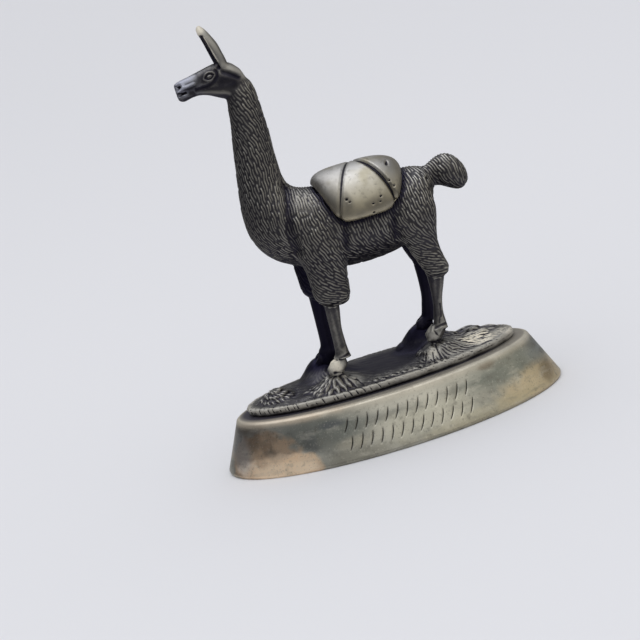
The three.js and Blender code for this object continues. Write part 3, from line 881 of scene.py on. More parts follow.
def boulder_shell(middle, half, tilt):
    points, faces = ball(middle, half, tilt)
    return points + layered(points, boulder_waves)[:, None], faces


ground = together([ground_shell(), *(boulder_shell(*boulder) for boulder in boulders)])
print(f"ground {2 * ground_half_length:.1f} x {2 * ground_half_width:.1f} mm, {len(boulders)} boulders")

# %% [markdown]
# ## Leaves, blades and the corded rim
#
# Leaves fan out from the near hooves and a tuft grows at the head end. One leaf is a keeled teardrop,
# narrow at its root. Geometry Nodes put a copy on every point of a list, turned and stretched by numbers
# kept on the point, which is how a wax modeller presses one leaf after another into the ground. Each
# leaf is a little longer, wider or more turned than the next.

# %% One leaf, and a tree that plants many
def leaf_shape(rows=11, sides=12, root_depth=2.6):
    """A keeled teardrop one unit long and wide, rooted below and raised at its tip."""
    turns = 2 * math.pi * np.arange(sides) / sides
    keel = np.maximum(0, np.sin(turns)) ** 0.8 - root_depth * np.maximum(0, -np.sin(turns))
    rings = []
    for along in np.linspace(0.015, 0.985, rows):
        width = 0.5 * math.sin(math.pi * along**1.25) ** 0.75
        lift = 0.35 + 0.65 * along
        bow = 0.5 * (along - 0.5) ** 2
        ring = [np.full(sides, along - 0.5), bow + width * np.cos(turns), 2 * width * lift * keel]
        rings.append(np.stack(ring, 1))
    return piece("leaf_shape", skin(np.stack(rings)))


def leaf_tree():
    tree, given = new_geometry_tree("plant_leaves", {"Leaf": "Object"})
    turn, size = (kept_on_points(tree, name, "FLOAT_VECTOR") for name in ("turn", "size"))
    inputs = {"Points": given["Geometry"], "Instance": shape_of(tree, given["Leaf"]), "Rotation": turn,
              "Scale": size}
    close_geometry_tree(tree, add_node(tree, "GeometryNodeInstanceOnPoints", inputs).outputs[0])
    return tree


print("one leaf and its planting tree are ready")

# %% [markdown]
# Each list below is one clump as it grows on the real ground: four fans round the near fore hoof, one
# round the near hind hoof, a tuft at the head end, short blades along the near rim and long flat ones
# towards the tail end. The order of the draws is fixed, so each leaf stays as it is.

# %% Where the leaves grow
leaf_chance = np.random.default_rng(21)
leaf_turns = (-0.35, 0.35)
leaf_sizes = (0.75, 1.25)
fore_fans = [(6, 1.6, 1.7), (8, 2.4, 2.1), (10, 3.3, 2.1), (12, 4.2, 1.8)]  # leaves, how far out, length
tuft_rings = [(0.6, 1.1), (1.3, 1.3), (2.0, 1.2)]  # how far out, length
tuft_leaves, rim_blades, tail_blades = 10, 13, 22


def leaf_row(x, y, heading, length, width, rise, lift=0.1):
    """One leaf: where it lies, which way it points and how big it is, each a little by chance."""
    heading += leaf_chance.uniform(*leaf_turns)
    length, width, rise = (size * leaf_chance.uniform(*leaf_sizes) for size in (length, width, rise))
    ahead_x, ahead_y = 0.5 * math.cos(heading), 0.5 * math.sin(heading)
    fall = float(ground_height(x + ahead_x, y + ahead_y) - ground_height(x - ahead_x, y - ahead_y))
    z = float(ground_height(x, y)) + plinth_height
    return (x, y, z), (0, -math.atan(fall) - lift, heading), (length, width, rise)


def fan_of_leaves(leg, count, away, length, width, first, last, rise=0.3, within=0.86):
    """A ring of leaves round a hoof, between two turns given in half circles."""
    rows = []
    for i in range(count):
        heading = math.pi * (first + (last - first) * (i + leaf_chance.uniform(-0.3, 0.3)) / (count - 1))
        out = away * leaf_chance.uniform(0.9, 1.1)
        x = leg["hoof_x"] + leg["shift"] + out * math.cos(heading)
        y = leg["side"] * leg_middle_y + 0.85 * out * math.sin(heading)
        row = leaf_row(x, y, heading, length, width, rise)
        if share_to_edge(x, y) < within:
            rows.append(row)
    return rows


def all_leaves():
    rows = []
    for count, away, length in fore_fans:
        rows += fan_of_leaves(near_fore, count, away, length, width=0.56, first=0.88, last=1.55, rise=0.42)
    rows += fan_of_leaves(near_hind, count=5, away=2.4, length=1.5, width=0.6, first=0.95, last=1.2)
    for i in range(tuft_leaves):
        turn = math.pi * (0.95 + 0.95 * i / (tuft_leaves - 1))
        for away, length in tuft_rings:
            x = -ground_half_length * 0.77 + away * math.cos(turn)
            rows.append(leaf_row(x, away * math.sin(turn) - 0.4, turn + 0.6, length, width=0.5, rise=0.28))
    for i in range(rim_blades):
        x = ground_half_length * (-0.06 + 0.042 * i)
        rows.append(leaf_row(x, -ground_half_width * 0.85, 2.45, length=1.2, width=0.46, rise=0.2))
    for i in range(tail_blades):
        x = ground_half_length * leaf_chance.uniform(0.56, 0.84)
        y = ground_half_width * leaf_chance.uniform(-0.55, 0.45)
        rows.append(leaf_row(x, y, -0.05, length=3.0, width=0.66, rise=0.4, lift=0.06))
    return rows


def plant(rows):
    """Run the leaf tree over the rows, for one set of skins."""
    places, turns, sizes = (np.array(column, float) for column in zip(*rows))
    made = piece("leaf_points", (places, []))
    for name, values in (("turn", turns), ("size", sizes)):
        layer = made.data.attributes.new(name, "FLOAT_VECTOR", "POINT")
        layer.data.foreach_set("vector", values.astype(np.float32).ravel())
    shape = leaf_shape()
    with_tree(made, leaf_tree(), {"Leaf": shape})
    drop(shape)
    return shell_of(made)


leaves = plant(all_leaves())
print(f"leaves: {len(leaves[1])} faces")

# %% [markdown]
# The plate's edge looks like a cord laid round it: low slanted beads that run into one another. They are
# copies of one bead on points spaced evenly round the oval. Each is turned to follow it and stretched a
# little by chance.

# %% Corded rim by Geometry Nodes
bead_pitch = 0.85
bead_half = (0.3, 0.3, 1.0)
bead_lean = 0.12
bead_inset, bead_sink = 0.24, 0.26  # from the plate's outline and top to the middle of a bead
smallest_bead, largest_bead = (0.85, 0.85, 0.6), (1.1, 1.1, 1.3)


def rim_tree():
    lengths = {name: "Float" for name in ("Half length", "Half width", "Height", "Pitch")}
    tree, given = new_geometry_tree("cord_the_rim", {"Bead": "Object", **lengths})
    circle = add_node(tree, "GeometryNodeCurvePrimitiveCircle", {"Resolution": 256, "Radius": 1.0}).outputs[0]
    stretch, lift = (add_node(tree, "ShaderNodeCombineXYZ", parts).outputs[0] for parts in (
        {0: given["Half length"], 1: given["Half width"], 2: 1.0}, {2: given["Height"]}))
    inputs = {0: circle, "Translation": lift, "Scale": stretch}
    inputs = {0: add_node(tree, "GeometryNodeTransform", inputs).outputs[0], "Length": given["Pitch"]}
    points = add_node(tree, "GeometryNodeCurveToPoints", inputs, mode="LENGTH")
    inputs = {0: smallest_bead, 1: largest_bead, "Seed": 9}
    size = add_node(tree, "FunctionNodeRandomValue", inputs, data_type="FLOAT_VECTOR").outputs[0]
    inputs = {"Points": points.outputs[0], "Instance": shape_of(tree, given["Bead"]),
              "Rotation": points.outputs["Rotation"], "Scale": size}
    close_geometry_tree(tree, add_node(tree, "GeometryNodeInstanceOnPoints", inputs).outputs[0])
    return tree


def corded_rim():
    bead_points, bead_faces = ball((0, 0, -plinth_height), bead_half, segments=16)
    lean = np.array(Matrix.Rotation(bead_lean, 3, "Y"))
    bead = piece("bead", (bead_points @ lean.T, bead_faces))
    made = piece("rim_line", (np.zeros((1, 3)), []))
    values = {"Bead": bead, "Pitch": bead_pitch, "Half length": ground_half_length - bead_inset,
              "Half width": ground_half_width - bead_inset,
              "Height": plinth_height + ground_rim_top - bead_sink}
    with_tree(made, rim_tree(), values)
    drop(bead)
    return shell_of(made)


rim = corded_rim()
print(f"rim cord: {len(rim[1])} faces, x {rim[0][:, 0].min():.2f} to {rim[0][:, 0].max():.2f}")

# %% [markdown]
# ## One casting
#
# The neck, trunk, tail and upper legs are melted together first and smoothed a good deal, so that the
# shoulders and haunches swell out of the body without a seam. Then the figure, the ground, the leaves
# and the cord are melted into one skin. Melting fills the whole with tiny cubes and wraps a skin round
# the lot, and every joint turns into a soft fillet, as it does in a real casting.

# %% Skins of the figure
toe_rise = 1.1
toe_spread = 0.45
toe_half = (1.42, 0.58, 0.95)
toe_tilt = -0.55
toe_waves = [(0.13, 0.9, 41)]  # share of its size, wavelength, seed


def hoof_shells(leg):
    """Two toes, lumpy outwards from their own middle."""
    place = np.array([leg["hoof_x"] + leg["shift"], leg["side"] * leg_middle_y, leg["sole_z"] + toe_rise])
    shells = []
    for spread in (-toe_spread, toe_spread):
        points, faces = ball(place + [0, spread, 0], toe_half, toe_tilt)
        middle = place + [0, spread, plinth_height]
        shells.append((middle + (points - middle) * (1 + layered(points, toe_waves)[:, None]), faces))
    return shells


def wool_shells(grow=0.0):
    """The parts that wear fleece: neck and trunk, tail, and the upper legs."""
    shells = [limb(trunk_rings, grow=grow), limb(tail_rings, grow=grow)]
    for leg in legs:
        shells.append(limb(leg["fleece"], fleece_power, grow=grow, side=leg["side"], shift=leg["shift"]))
    return shells


def bare_shells():
    shells = [limb(head_rings, fleece_power), limb(ear_rings, side=-1), limb(ear_rings, side=1)]
    for leg in legs:
        shells.append(limb(leg["bare"], grow=leg["grow"], side=leg["side"], shift=leg["shift"]))
        shells += hoof_shells(leg)
    return shells


print(f"{len(wool_shells())} skins wear fleece and {len(bare_shells())} are bare")

# %% Melt the casting into one skin
voxel = 0.07
body_voxel = 0.22
softening_rounds, giving_back_rounds = 22, 60


def smooth_body():
    body = fused(piece("wool_body", together(wool_shells())), body_voxel)
    points, ends = read_points(body), edge_ends(body)
    soft = averaged(points, ends, softening_rounds, 0.5)
    shrunk = averaged(soft - points, ends, giving_back_rounds, 0.5)
    write_points(body, soft - shrunk)
    return shell_of(body)


wool_body = smooth_body()
casting = piece("llama_casting", together([ground, leaves, rim, wool_body, *bare_shells()]))
fused(casting, voxel)
print(f"casting melted: {len(casting.data.vertices)} points at {voxel} mm")

# %% [markdown]
# ## Face, creases and tendons
#
# The small forms are pressed into the skin the way a modeller uses a tool in wax: along a short line, to
# a certain width and depth. A negative depth raises the metal instead. The lines are drawn on the side
# view, in x and in z over the plinth's top. A feature fades out where the surface turns away, so that it
# never cuts through to the other side.

# %% Pressing lines into a surface
def distance_from_line(places, line):
    line = np.asarray(line, float)
    nearest = np.full(len(places), np.inf)
    for start, end in zip(line[:-1], line[1:]):
        along = end - start
        share = np.clip((places - start) @ along / (along @ along), 0, 1)
        nearest = np.minimum(nearest, np.linalg.norm(places - start - share[:, None] * along, axis=1))
    return nearest


def press(points, normals, marks, side, y_from=0.0, shift=0.0):
    """Press marks of [half width, depth, line] on one side, only further out than y_from."""
    for half_width, depth, line in marks:
        flat = points[:, [0, 2]] - [shift, plinth_height]
        low, high = np.min(line, 0) - half_width, np.max(line, 0) + half_width
        near = np.all((flat > low) & (flat < high), axis=1) & (side * points[:, 1] > y_from)
        share = eased(1 - distance_from_line(flat[near], line) / half_width)
        facing = eased(side * normals[near, 1] / 0.4)
        points[near] -= normals[near] * (depth * share * facing)[:, None]


beside = distance_from_line(np.array([[0.5, 1.0]]), [(0, 0), (1, 0)])[0]
print(f"a place 1 mm beside a line measures {beside:.1f} mm")

# %% The lines to press
wool_edge = [(-9.4, 40.9), (-8.6, 41.0), (-8.2, 41.65), (-7.0, 42.3), (-6.4, 43.3), (-6.2, 43.9)]
ear_cup_line = [(-9.75, 49.5), (-9.5, 48.4), (-9.25, 47.1), (-8.95, 45.9)]
eye_middle = (-10.22, 44.5)
eye_slant = 0.2


def eye_ring(half_length, half_height, turns=16):
    """An almond line round the eye."""
    ring = []
    for i in range(turns + 1):
        turn = 2 * math.pi * i / turns
        along, up = half_length * math.cos(turn), half_height * math.sin(turn) * abs(math.sin(turn)) ** 0.5
        ring.append((eye_middle[0] + along - eye_slant * up, eye_middle[1] + up + eye_slant * along))
    return ring


behind_eye_line = [(-9.2, 45.0), (-9.35, 44.3), (-9.9, 43.7), (-10.95, 43.4), (-12.2, 43.35)]
face_marks = [
    [1.2, 0.13, [(-10.8, 44.4), (-9.7, 44.6)]],  # socket round the eye
    [0.4, -0.2, [(-10.35, 44.47), (-10.1, 44.54)]],  # eyeball
    [0.17, 0.12, eye_ring(0.5, 0.3)],  # crease round the eyeball
    [0.2, -0.08, eye_ring(0.8, 0.46)],  # lids
    [0.6, -0.1, [(-11.2, 45.15), (-10.2, 45.4), (-9.2, 45.35)]],  # brow
    [0.42, 0.14, behind_eye_line],  # crease from behind the eye to the mouth
    [0.45, 0.05, [(-13.4, 44.4), (-12.7, 44.36), (-11.8, 44.45)]],  # hollow under the top of the muzzle
    [0.52, 0.68, [(-15, 44), (-14.35, 44.28)]],  # nostril, open to the front
    [0.36, -0.12, [(-14.5, 43.8), (-13.95, 44.05), (-13.1, 44.05), (-12.4, 44.15)]],  # upper lip
    [0.36, 0.55, [(-15.3, 43.2), (-14.5, 43.28)]],  # mouth, open at the front
    [0.24, 0.4, [(-14.5, 43.28), (-13.7, 43.3)]],
    [0.5, 0.1, [(-13.6, 43.3), (-12.9, 43.1)]],  # corner of the mouth
    [0.8, 0.14, [(-11.2, 43.25), (-9.9, 42.85), (-8.5, 42.6), (-7.7, 42.5)]],  # hollow over the jaw
    [0.45, -0.1, [(-12.2, 42.85), (-10.6, 42.5), (-9, 42), (-8.4, 41.7)]],  # edge of the jaw
    [0.7, -0.17, [(-8.2, 45.3), (-7.3, 44.75), (-6.45, 43.9)]],  # ridge behind the ear
    [0.5, 0.16, [(-8.4, 44.6), (-7.6, 44.1), (-6.7, 43.4)]],  # shadow below that ridge
    [0.4, 0.25, [(-8.95, 45.8), (-8.75, 45.3)]],  # hollow at the foot of the ear
    [0.4, 0.42, ear_cup_line],  # cup of the ear
]
body_marks = [
    [1.3, 0.38, [(-4.9, 28.2), (-5.5, 25.6), (-6.2, 22.8), (-6.1, 20.3)]],  # crease before the shoulder
    [1.1, 0.3, [(1.1, 22.6), (0.6, 21), (0.2, 19.4)]],  # crease behind the shoulder
    [1.1, 0.35, [(7.2, 21.2), (6.7, 19.8), (6.8, 18.3)]],  # crease before the haunch
    [0.6, 0.2, [(12.7, 23.8), (13, 22.4)]],  # hollow under the root of the tail
]
fore_marks = [
    [0.5, 0.09, [(-3.75, 11.6), (-3.9, 8.8), (-4, 6.2)]],  # flute between bone and tendon
    [0.3, 0.14, [(-4.9, 4.8), (-4.1, 4.9), (-3.2, 5)]],  # shadow over the hoof
    [0.35, 0.12, [(-6, 3.1), (-4.8, 2.85)]],  # lower edge of the hoof
]
hind_marks = [
    [0.5, 0.09, [(10.3, 10.8), (9.6, 8.6), (9.35, 6.4)]],  # flute between bone and tendon
    [0.5, 0.08, [(11.3, 12.4), (10.4, 11.2)]],  # hollow beside the hock
    [0.3, 0.12, [(8.3, 4.9), (9.1, 5.05), (10.1, 5)]],  # shadow over the hoof
    [0.28, 0.1, [(8, 4.7), (8.4, 3.7)]],  # front of the hoof
]
rock_marks = [  # creases down the pale rocks at the foot of the near mounds
    [0.15, 0.14, [(6.35, 3.1), (6.1, 2.2), (5.7, 1.5)]],
    [0.14, 0.08, [(6.95, 2.2), (6.75, 1.2)]],
    [0.15, 0.14, [(7.6, 3.1), (7.65, 2.2), (7.9, 1.3)]],
    [0.13, 0.06, [(6.5, 2.7), (7.3, 2.4)]],
    [0.15, 0.1, [(-4.9, 2.6), (-4.3, 1.9), (-3.9, 1.2)]],
    [0.14, 0.1, [(-4.3, 2.4), (-3.4, 1.7), (-2.9, 1.2)]],
]
print(f"{len(face_marks) + len(body_marks) + len(fore_marks) + len(hind_marks)} lines to press on each side")

# %% [markdown]
# The melted skin is smoothed a little first. Where the fleece meets the bare face it is smoothed much
# more, so that one runs into the other. Then the lines are pressed on both sides, and each leg gets its
# own, moved along with it.

# %% Press the face, body, legs and rocks
skin_rounds, seam_rounds = 4, 60
seam_reach, seam_fade = 1.7, 0.8
body_from_y, legs_from_y, rocks_from_y = 1.0, 1.2, 3.7


def softened(made):
    """Smooth a piece, and give its points before they are rounded for the mesh."""
    ends = edge_ends(made)
    points = averaged(read_points(made), ends, skin_rounds, 0.5)
    away = distance_from_line(points[:, [0, 2]] - [0, plinth_height], wool_edge)
    seam = eased(seam_reach - away / seam_fade)
    near = np.nonzero(seam)[0]
    local = np.searchsorted(near, ends[seam[ends].all(1)])
    points[near] += seam[near, None] * (averaged(points[near], local, seam_rounds, 0.6) - points[near])
    write_points(made, points)
    return points


def refine_casting(made):
    points, normals = softened(made), read_points(made, "normal")
    for side in (-1, 1):
        press(points, normals, face_marks, side)
        press(points, normals, body_marks, side, body_from_y)
    for leg in legs:
        marks = fore_marks if leg["hoof_x"] < 0 else hind_marks
        press(points, normals, marks, leg["side"], legs_from_y, leg["shift"])
    press(points, normals, rock_marks, -1, rocks_from_y)
    points[:, 2] = np.maximum(points[:, 2], plinth_height)
    write_points(made, points)


refine_casting(casting)
print("face, creases and tendons pressed")

# %% [markdown]
# ## Pack
#
# The pack is a cushion laid over the back. Its ribs run from the front to the rear and swing round the
# barrel from one lower edge over the crest to the other. The back itself is then cut out of it, with a
# hair's width to spare, so that it rides on the wool.

# %% Pack form
pack_gap = 0.4
pack_top_thickness = 2.75
pack_side_thickness = 1.65
pack_inner_depth = 1.5
pack_reach = 1.34  # how far round the barrel it comes down on each side, in radians
pack_fullness = 2.5
pack_front_crest, pack_front_edge = -1.9, 0.1
pack_rear_crest, pack_rear_edge = 9.9, 7.7
front_curve, rear_curve, side_curve, edge_curve = 1.3, 2.5, 1.5, 8
last_rib = 0.9995  # just short of the edge, where a rib closes to nothing
withers_rise = 0.9
pack_voxel = 0.09
pack_middle_x = (pack_front_crest + pack_rear_crest) / 2
trunk_middle_z = (back_z + belly_z) / 2
trunk_half_height = (back_z - belly_z) / 2


def pack_rib(v):
    """Middle, half length and thickness of the pack on one rib; v runs from -1 to 1 over the crest."""
    spread = min(abs(v), last_rib)
    front = pack_front_crest + (pack_front_edge - pack_front_crest) * spread**front_curve
    rear = pack_rear_crest + (pack_rear_edge - pack_rear_crest) * spread**rear_curve
    closing = (1 - spread**edge_curve) ** (1 / edge_curve)
    thickness = pack_top_thickness + (pack_side_thickness - pack_top_thickness) * spread**side_curve
    return (front + rear) / 2, (rear - front) / 2 * closing, thickness * closing


def pack_point(turn, x, out):
    """A place that far out from the barrel; the withers lift the front of the pack."""
    ahead = np.maximum(0, (pack_middle_x - x) / (pack_middle_x - pack_front_crest))
    y = math.sin(turn) * (barrel_half_width + out)
    height = trunk_half_height + withers_rise * ahead**2
    z = trunk_middle_z + math.cos(turn) * (height + out) + plinth_height
    return np.stack(np.broadcast_arrays(x, y, z), -1)


def pack_shell(ribs=110, sides=120):
    along, rise = rounded_turns(sides, pack_fullness)
    rings = []
    for i in range(ribs + 1):
        v = last_rib * math.sin(math.pi * (i / ribs - 0.5))
        middle, half_length, thickness = pack_rib(v)
        out = rise * np.where(rise > 0, thickness, pack_inner_depth)
        rings.append(pack_point(v * pack_reach, middle + along * half_length, out))
    return skin(np.stack(rings))


def pack_piece():
    """The cushion, with the back, flanks and haunches cut out of its underside."""
    made = piece("pack_cushion", pack_shell())
    for shell in [limb(trunk_rings, grow=pack_gap), *wool_shells(pack_gap)[2:]]:
        cut_away(made, piece("seat", shell))
    fused(made, pack_voxel)
    write_points(made, averaged(read_points(made), edge_ends(made), 4, 0.5))
    return made


pack_swell = pack_shell()
pack = pack_piece()
print(f"pack has {len(pack.data.vertices)} points")

# %% [markdown]
# Two rope lines cross the pack, drawn from one lower edge over the crest to the other. The front one is
# shallow and the rear one deep. A few casting pits sit in the near side.

# %% Rope lines and pits
rope_lines = [  # rows of [v, x] over the crest, half width, depth
    ([[-1, -0.3], [-0.4, 1.95], [0.22, 4.25], [0.45, 5], [1, 8]], 0.5, 0.14),
    ([[-1, 8.35], [-0.5, 7.15], [0.22, 3.6], [0.45, 2.9], [1, 0.6]], 0.55, 0.42),
]
rope_overshoot = 1.04
pits = [  # x, z over the plinth's top, half width, depth
    (8.2, 27.45, 0.34, 0.26),
    (7.75, 25.6, 0.22, 0.18),
    (8.15, 24.8, 0.24, 0.2),
    (1.8, 25, 0.24, 0.18),
    (2.1, 24.6, 0.17, 0.12),
    (6.1, 24.2, 0.2, 0.16),
    (5.85, 23.6, 0.18, 0.14),
    (4.9, 23.6, 0.2, 0.16),
    (4.7, 22.45, 0.24, 0.18),
    (8.5, 23.4, 0.2, 0.15),
    (3.1, 28.6, 0.15, 0.08),
]
pit_marks = [[half_width, depth, [(x - 0.03, z), (x + 0.03, z + 0.02)]] for x, z, half_width, depth in pits]


def rope_line(surface, rows):
    """A line on the pack through rows of [v, x], laid exactly on its surface."""
    path = []
    for v, x in smooth_rows(rows, 24):
        middle, half_length, thickness = pack_rib(max(-0.97, min(0.97, v)))
        along = min(0.98, abs((x - middle) / half_length))
        lift = thickness * (1 - along**pack_fullness) ** (1 / pack_fullness)
        guess = pack_point(rope_overshoot * v * pack_reach, x, lift)
        path.append(surface.find_nearest(Vector(guess))[0])
    return path


def surface_over(shell):
    return BVHTree.FromPolygons(shell[0].tolist(), shell[1])


def surface_of(made):
    bpy.context.view_layer.update()
    return BVHTree.FromObject(made, bpy.context.evaluated_depsgraph_get())


def detail_pack(made):
    surface = surface_of(made)
    for rows, half_width, depth in rope_lines:
        path = rope_line(surface, rows)
        groove(made, line_object("rope_path", [path], [np.ones(len(path))]), half_width, depth)
    points, normals = read_points(made), read_points(made, "normal")
    press(points, normals, pit_marks, side=-1, y_from=1.0)
    write_points(made, points)


detail_pack(pack)
print(f"{len(rope_lines)} rope lines and {len(pits)} pits in the pack")

# %% [markdown]
# ## Wool
#
# The fleece is drawn stroke by stroke, the way an engraver does it. Each stroke follows the lie of the
# wool over the surface, and the next one starts a fixed distance beside it. The lie is set at a few
# dozen places on the side view, and blended between them. The grass on the ground is drawn in the same
# way, and fans out from the hooves.

# %% The lie of the wool
wool_lie = np.array([
    # x, z over the plinth's top, direction along x, direction along z
    (-8.5, 38.8, 0.45, -0.9), (-7, 37.8, 0.4, -0.9), (-8, 36.3, 0.35, -0.94), (-6.3, 35.8, 0.3, -0.95),
    (-9, 32.8, -0.05, -1), (-7.5, 32.8, 0.15, -1), (-6, 33.3, 0.3, -0.95), (-9.5, 29.8, 0.05, -1),
    (-7, 29.8, -0.1, -1), (-5.8, 29.8, -0.05, -1), (-10, 26.8, 0.1, -1), (-8, 26.8, 0.05, -1),
    (-6, 27.3, -0.1, -1), (-10, 23.8, 0.15, -1), (-8, 24.3, 0.05, -1), (-9.5, 22.2, 0.35, -0.94),
    (-7.5, 21.7, 0.25, -0.97), (-8.5, 20.7, 0.5, -0.87), (-4.5, 28.1, -0.2, -1), (-3.5, 26.6, -0.05, -1),
    (-2, 27.1, 0.25, -0.97), (-4, 24.6, 0, -1), (-2.5, 24.6, 0.15, -1), (-1, 24.6, 0.3, -0.95),
    (-4.5, 22.6, 0.1, -1), (-2, 22.6, 0.3, -0.95), (-0.6, 22.6, 0.35, -0.94), (-4, 20.6, 0.25, -0.97),
    (-2, 20.6, 0.4, -0.92), (-0.5, 20.1, 0.35, -0.94), (-3.5, 18.6, 0.4, -0.92), (-1.5, 18.6, 0.5, -0.87),
    (-4, 15.6, 0.6, -0.8), (-3, 14.1, 0.8, -0.6), (-3, 12.8, 0.95, -0.3), (1.5, 20.6, 0.1, -1),
    (3, 20.1, 0.1, -1), (5, 20.1, 0.1, -1), (6, 19.6, 0.15, -1), (8, 22.1, 0, -1),
    (8, 20.1, 0.45, -0.9), (10, 20.1, 0.35, -0.94), (9.5, 23.1, 0.05, -1), (10.2, 25.6, -0.1, -1),
    (11, 26.1, 0.25, -0.97), (12, 26.6, 0.4, -0.9), (11.5, 23.6, 0.2, -1), (11.5, 21.1, 0.25, -0.97),
    (12.3, 22.1, 0.1, -1), (9, 16.6, 0.55, -0.83), (11, 17.1, 0.4, -0.9), (9.5, 15.4, 0.8, -0.6),
    (10.5, 14.6, 0.93, -0.35), (10.5, 13.1, 0.95, -0.25), (13.5, 25.1, 0.7, -0.7), (15, 25.6, 0.6, -0.8),
    (15, 24.1, 0.15, -1), (16.5, 25.1, 0.5, -0.85), (16.5, 23.4, 0.05, -1), (17.5, 23.6, -0.05, -1),
])
grass_fans = [
    # x, y, reach of the fan, swirl
    (-5.3, -2.8, 3.6, 0.1),
    (8.15, -2.8, 2.6, 0.1),
    (-14, -0.4, 2.6, 0.7),
]
lie_blend = 2.6  # the larger, the further a place's lie is felt
along_plate = Vector((0.5, -0.07, 0))
fan_pull = 3


def along_surface(way, normal):
    """A direction laid down on the surface, one unit long."""
    way -= way.dot(normal) * normal
    return way.normalized()


def wool_way(place, normal):
    """Unit direction of the wool: the lie on the side view, parting over the back and meeting below."""
    flat = np.array([place.x, place.z - plinth_height])
    away = ((wool_lie[:, :2] - flat) ** 2).sum(1)
    weight = np.exp(-away / lie_blend) + 1e-9 / (away + 1)
    along_x, along_z = weight @ wool_lie[:, 2:] / weight.sum()
    outward = math.copysign(0.9 * max(0.0, normal.z) + 0.15, place.y)
    return along_surface(Vector((along_x + 0.8 * max(0.0, -normal.z), outward, along_z)), normal)


def grass_way(place, normal):
    """Unit direction of the grass: out from the nearest fan, and along the plate elsewhere."""
    way = along_plate.copy()
    for x, y, reach, swirl in grass_fans:
        out = Vector((place.x - x, place.y - y, 0))
        pull = fan_pull * math.exp(-((out.length / reach) ** 2))
        out = out.normalized()
        way += pull * (out + swirl * Vector((-out.y, out.x, 0)))
    return along_surface(way, normal)


def is_bald(place):
    """The face and throat in front of the fleece."""
    z = place.z - plinth_height
    edge_x, edge_z = zip(*wool_edge)
    return z > edge_z[0] and place.x < np.interp(z, edge_z, edge_x)


print(f"the lie of the wool is set at {len(wool_lie)} places")

# %% [markdown]
# Strokes must keep apart, so each traced point is dropped into a small cube of space. Only the points in
# the cubes round a place then tell whether it's still free.

# %% A crowd of traced points
class Crowd:
    """Traced points in cubes of space, to ask whether a place is still free."""

    def __init__(self, size):
        self.size = size
        self.cubes = {}

    def cube(self, place):
        return tuple(int(part // self.size) for part in place)

    def add(self, place):
        self.cubes.setdefault(self.cube(place), []).append(place)

    def is_free(self, place, gap):
        i, j, k = self.cube(place)
        for a in (i - 1, i, i + 1):
            for b in (j - 1, j, j + 1):
                for c in (k - 1, k, k + 1):
                    for other in self.cubes.get((a, b, c), ()):
                        if (other - place).length_squared < gap * gap:
                            return False
        return True


print(f"with cubes of 1 mm, a point at 1.2, 0.4, 2.6 goes into cube {Crowd(1.0).cube((1.2, 0.4, 2.6))}")

# %% [markdown]
# A stroke grows both ways from its seed and ends at another stroke, at the edge of the fleece, or when
# it's long enough. Then it seeds its neighbours on both sides.

# %% Trace strokes over a surface
trace_step = 0.15
sharpest_turn = 0.3  # a stroke ends where the lie turns more sharply
seed_gap, stroke_gap, row_gap = 0.86, 0.62, 1.03  # between seeds, between strokes and from row to row
ahead_share, behind_share = 0.55, 0.45
fewest_points = 5


def follow(place, normal, way_at, sign, length, settle_on, crowd, gap):
    """Follow the lie from a place, forwards or backwards, as far as it's free."""
    path, heading = [], way_at(place, normal) * sign
    for _ in range(int(length / trace_step)):
        found = settle_on(place + heading * trace_step)
        if found is None or not crowd.is_free(found[0], gap):
            break
        place, normal = found
        way = way_at(place, normal)
        if heading.dot(way * sign) < sharpest_turn:
            break
        heading = way * sign
        path.append((place, normal, way))
    return path


def trace(settle_on, way_at, candidates, pitch, lengths, seed):
    """Even strokes over a surface, each a pitch from the last."""
    crowd, strokes, waiting, chance = Crowd(pitch), [], [], np.random.default_rng(seed)
    fresh, gap = iter(chance.permutation(candidates)), stroke_gap * pitch
    while True:
        guess = waiting.pop(0) if waiting else next(fresh, None)
        if guess is None:
            return strokes
        found = settle_on(Vector(guess))
        if found is None or not crowd.is_free(found[0], seed_gap * pitch):
            continue
        place, normal = found
        length = chance.uniform(*lengths)
        ahead = follow(place, normal, way_at, 1, length * ahead_share, settle_on, crowd, gap)
        behind = follow(place, normal, way_at, -1, length * behind_share, settle_on, crowd, gap)
        stroke = behind[::-1] + [(place, normal, way_at(place, normal))] + ahead
        if len(stroke) < fewest_points:
            continue
        strokes.append(stroke)
        for place, normal, way in stroke:
            crowd.add(place)
        for place, normal, way in stroke[1::3]:
            across = normal.cross(way) * pitch * row_gap
            waiting += [place + across, place - across]


print(f"a stroke takes a step every {trace_step} mm")

# %% [markdown]
# For every guess a stroke needs the nearest place on the surface, and whether it may lie there. Wool
# grows where the skin is the fleece's own, not on the bare face, legs or ears or far under the pack.
# Grass grows on the ground inside the cord, but not on steep sides or leaves.

# %% Where wool and grass may grow
proud, sunk = 0.12, 0.45  # how far off the fleece's own skin, outwards and at all
pack_cover = 0.8
grass_within, steepest, grass_reach = 0.93, 0.25, 0.7


def fleece_test(surface):
    """Puts a guess on the fleece, and hands back nothing off it or well under the pack."""
    fleece, hidden = surface_over(wool_body), surface_over(pack_swell)

    def settle_on(guess):
        place, normal, _, _ = surface.find_nearest(guess)
        below, _, _, depth = fleece.find_nearest(place)
        if (depth > proud and (place - below).dot(normal) > proud) or depth > sunk or is_bald(place):
            return None
        under, facing, _, deep = hidden.find_nearest(place)
        if deep > pack_cover and (place - under).dot(facing) < 0:
            return None
        return place, normal
    return settle_on


def ground_test(surface):
    """Puts a guess on the ground inside the cord."""
    def settle_on(guess):
        place, normal, _, _ = surface.find_nearest(guess)
        level = ground_height(place.x, place.y) + plinth_height
        inside = share_to_edge(place.x, place.y) < grass_within
        if not inside or normal.z < steepest or abs(place.z - level) > grass_reach:
            return None
        return place, normal
    return settle_on


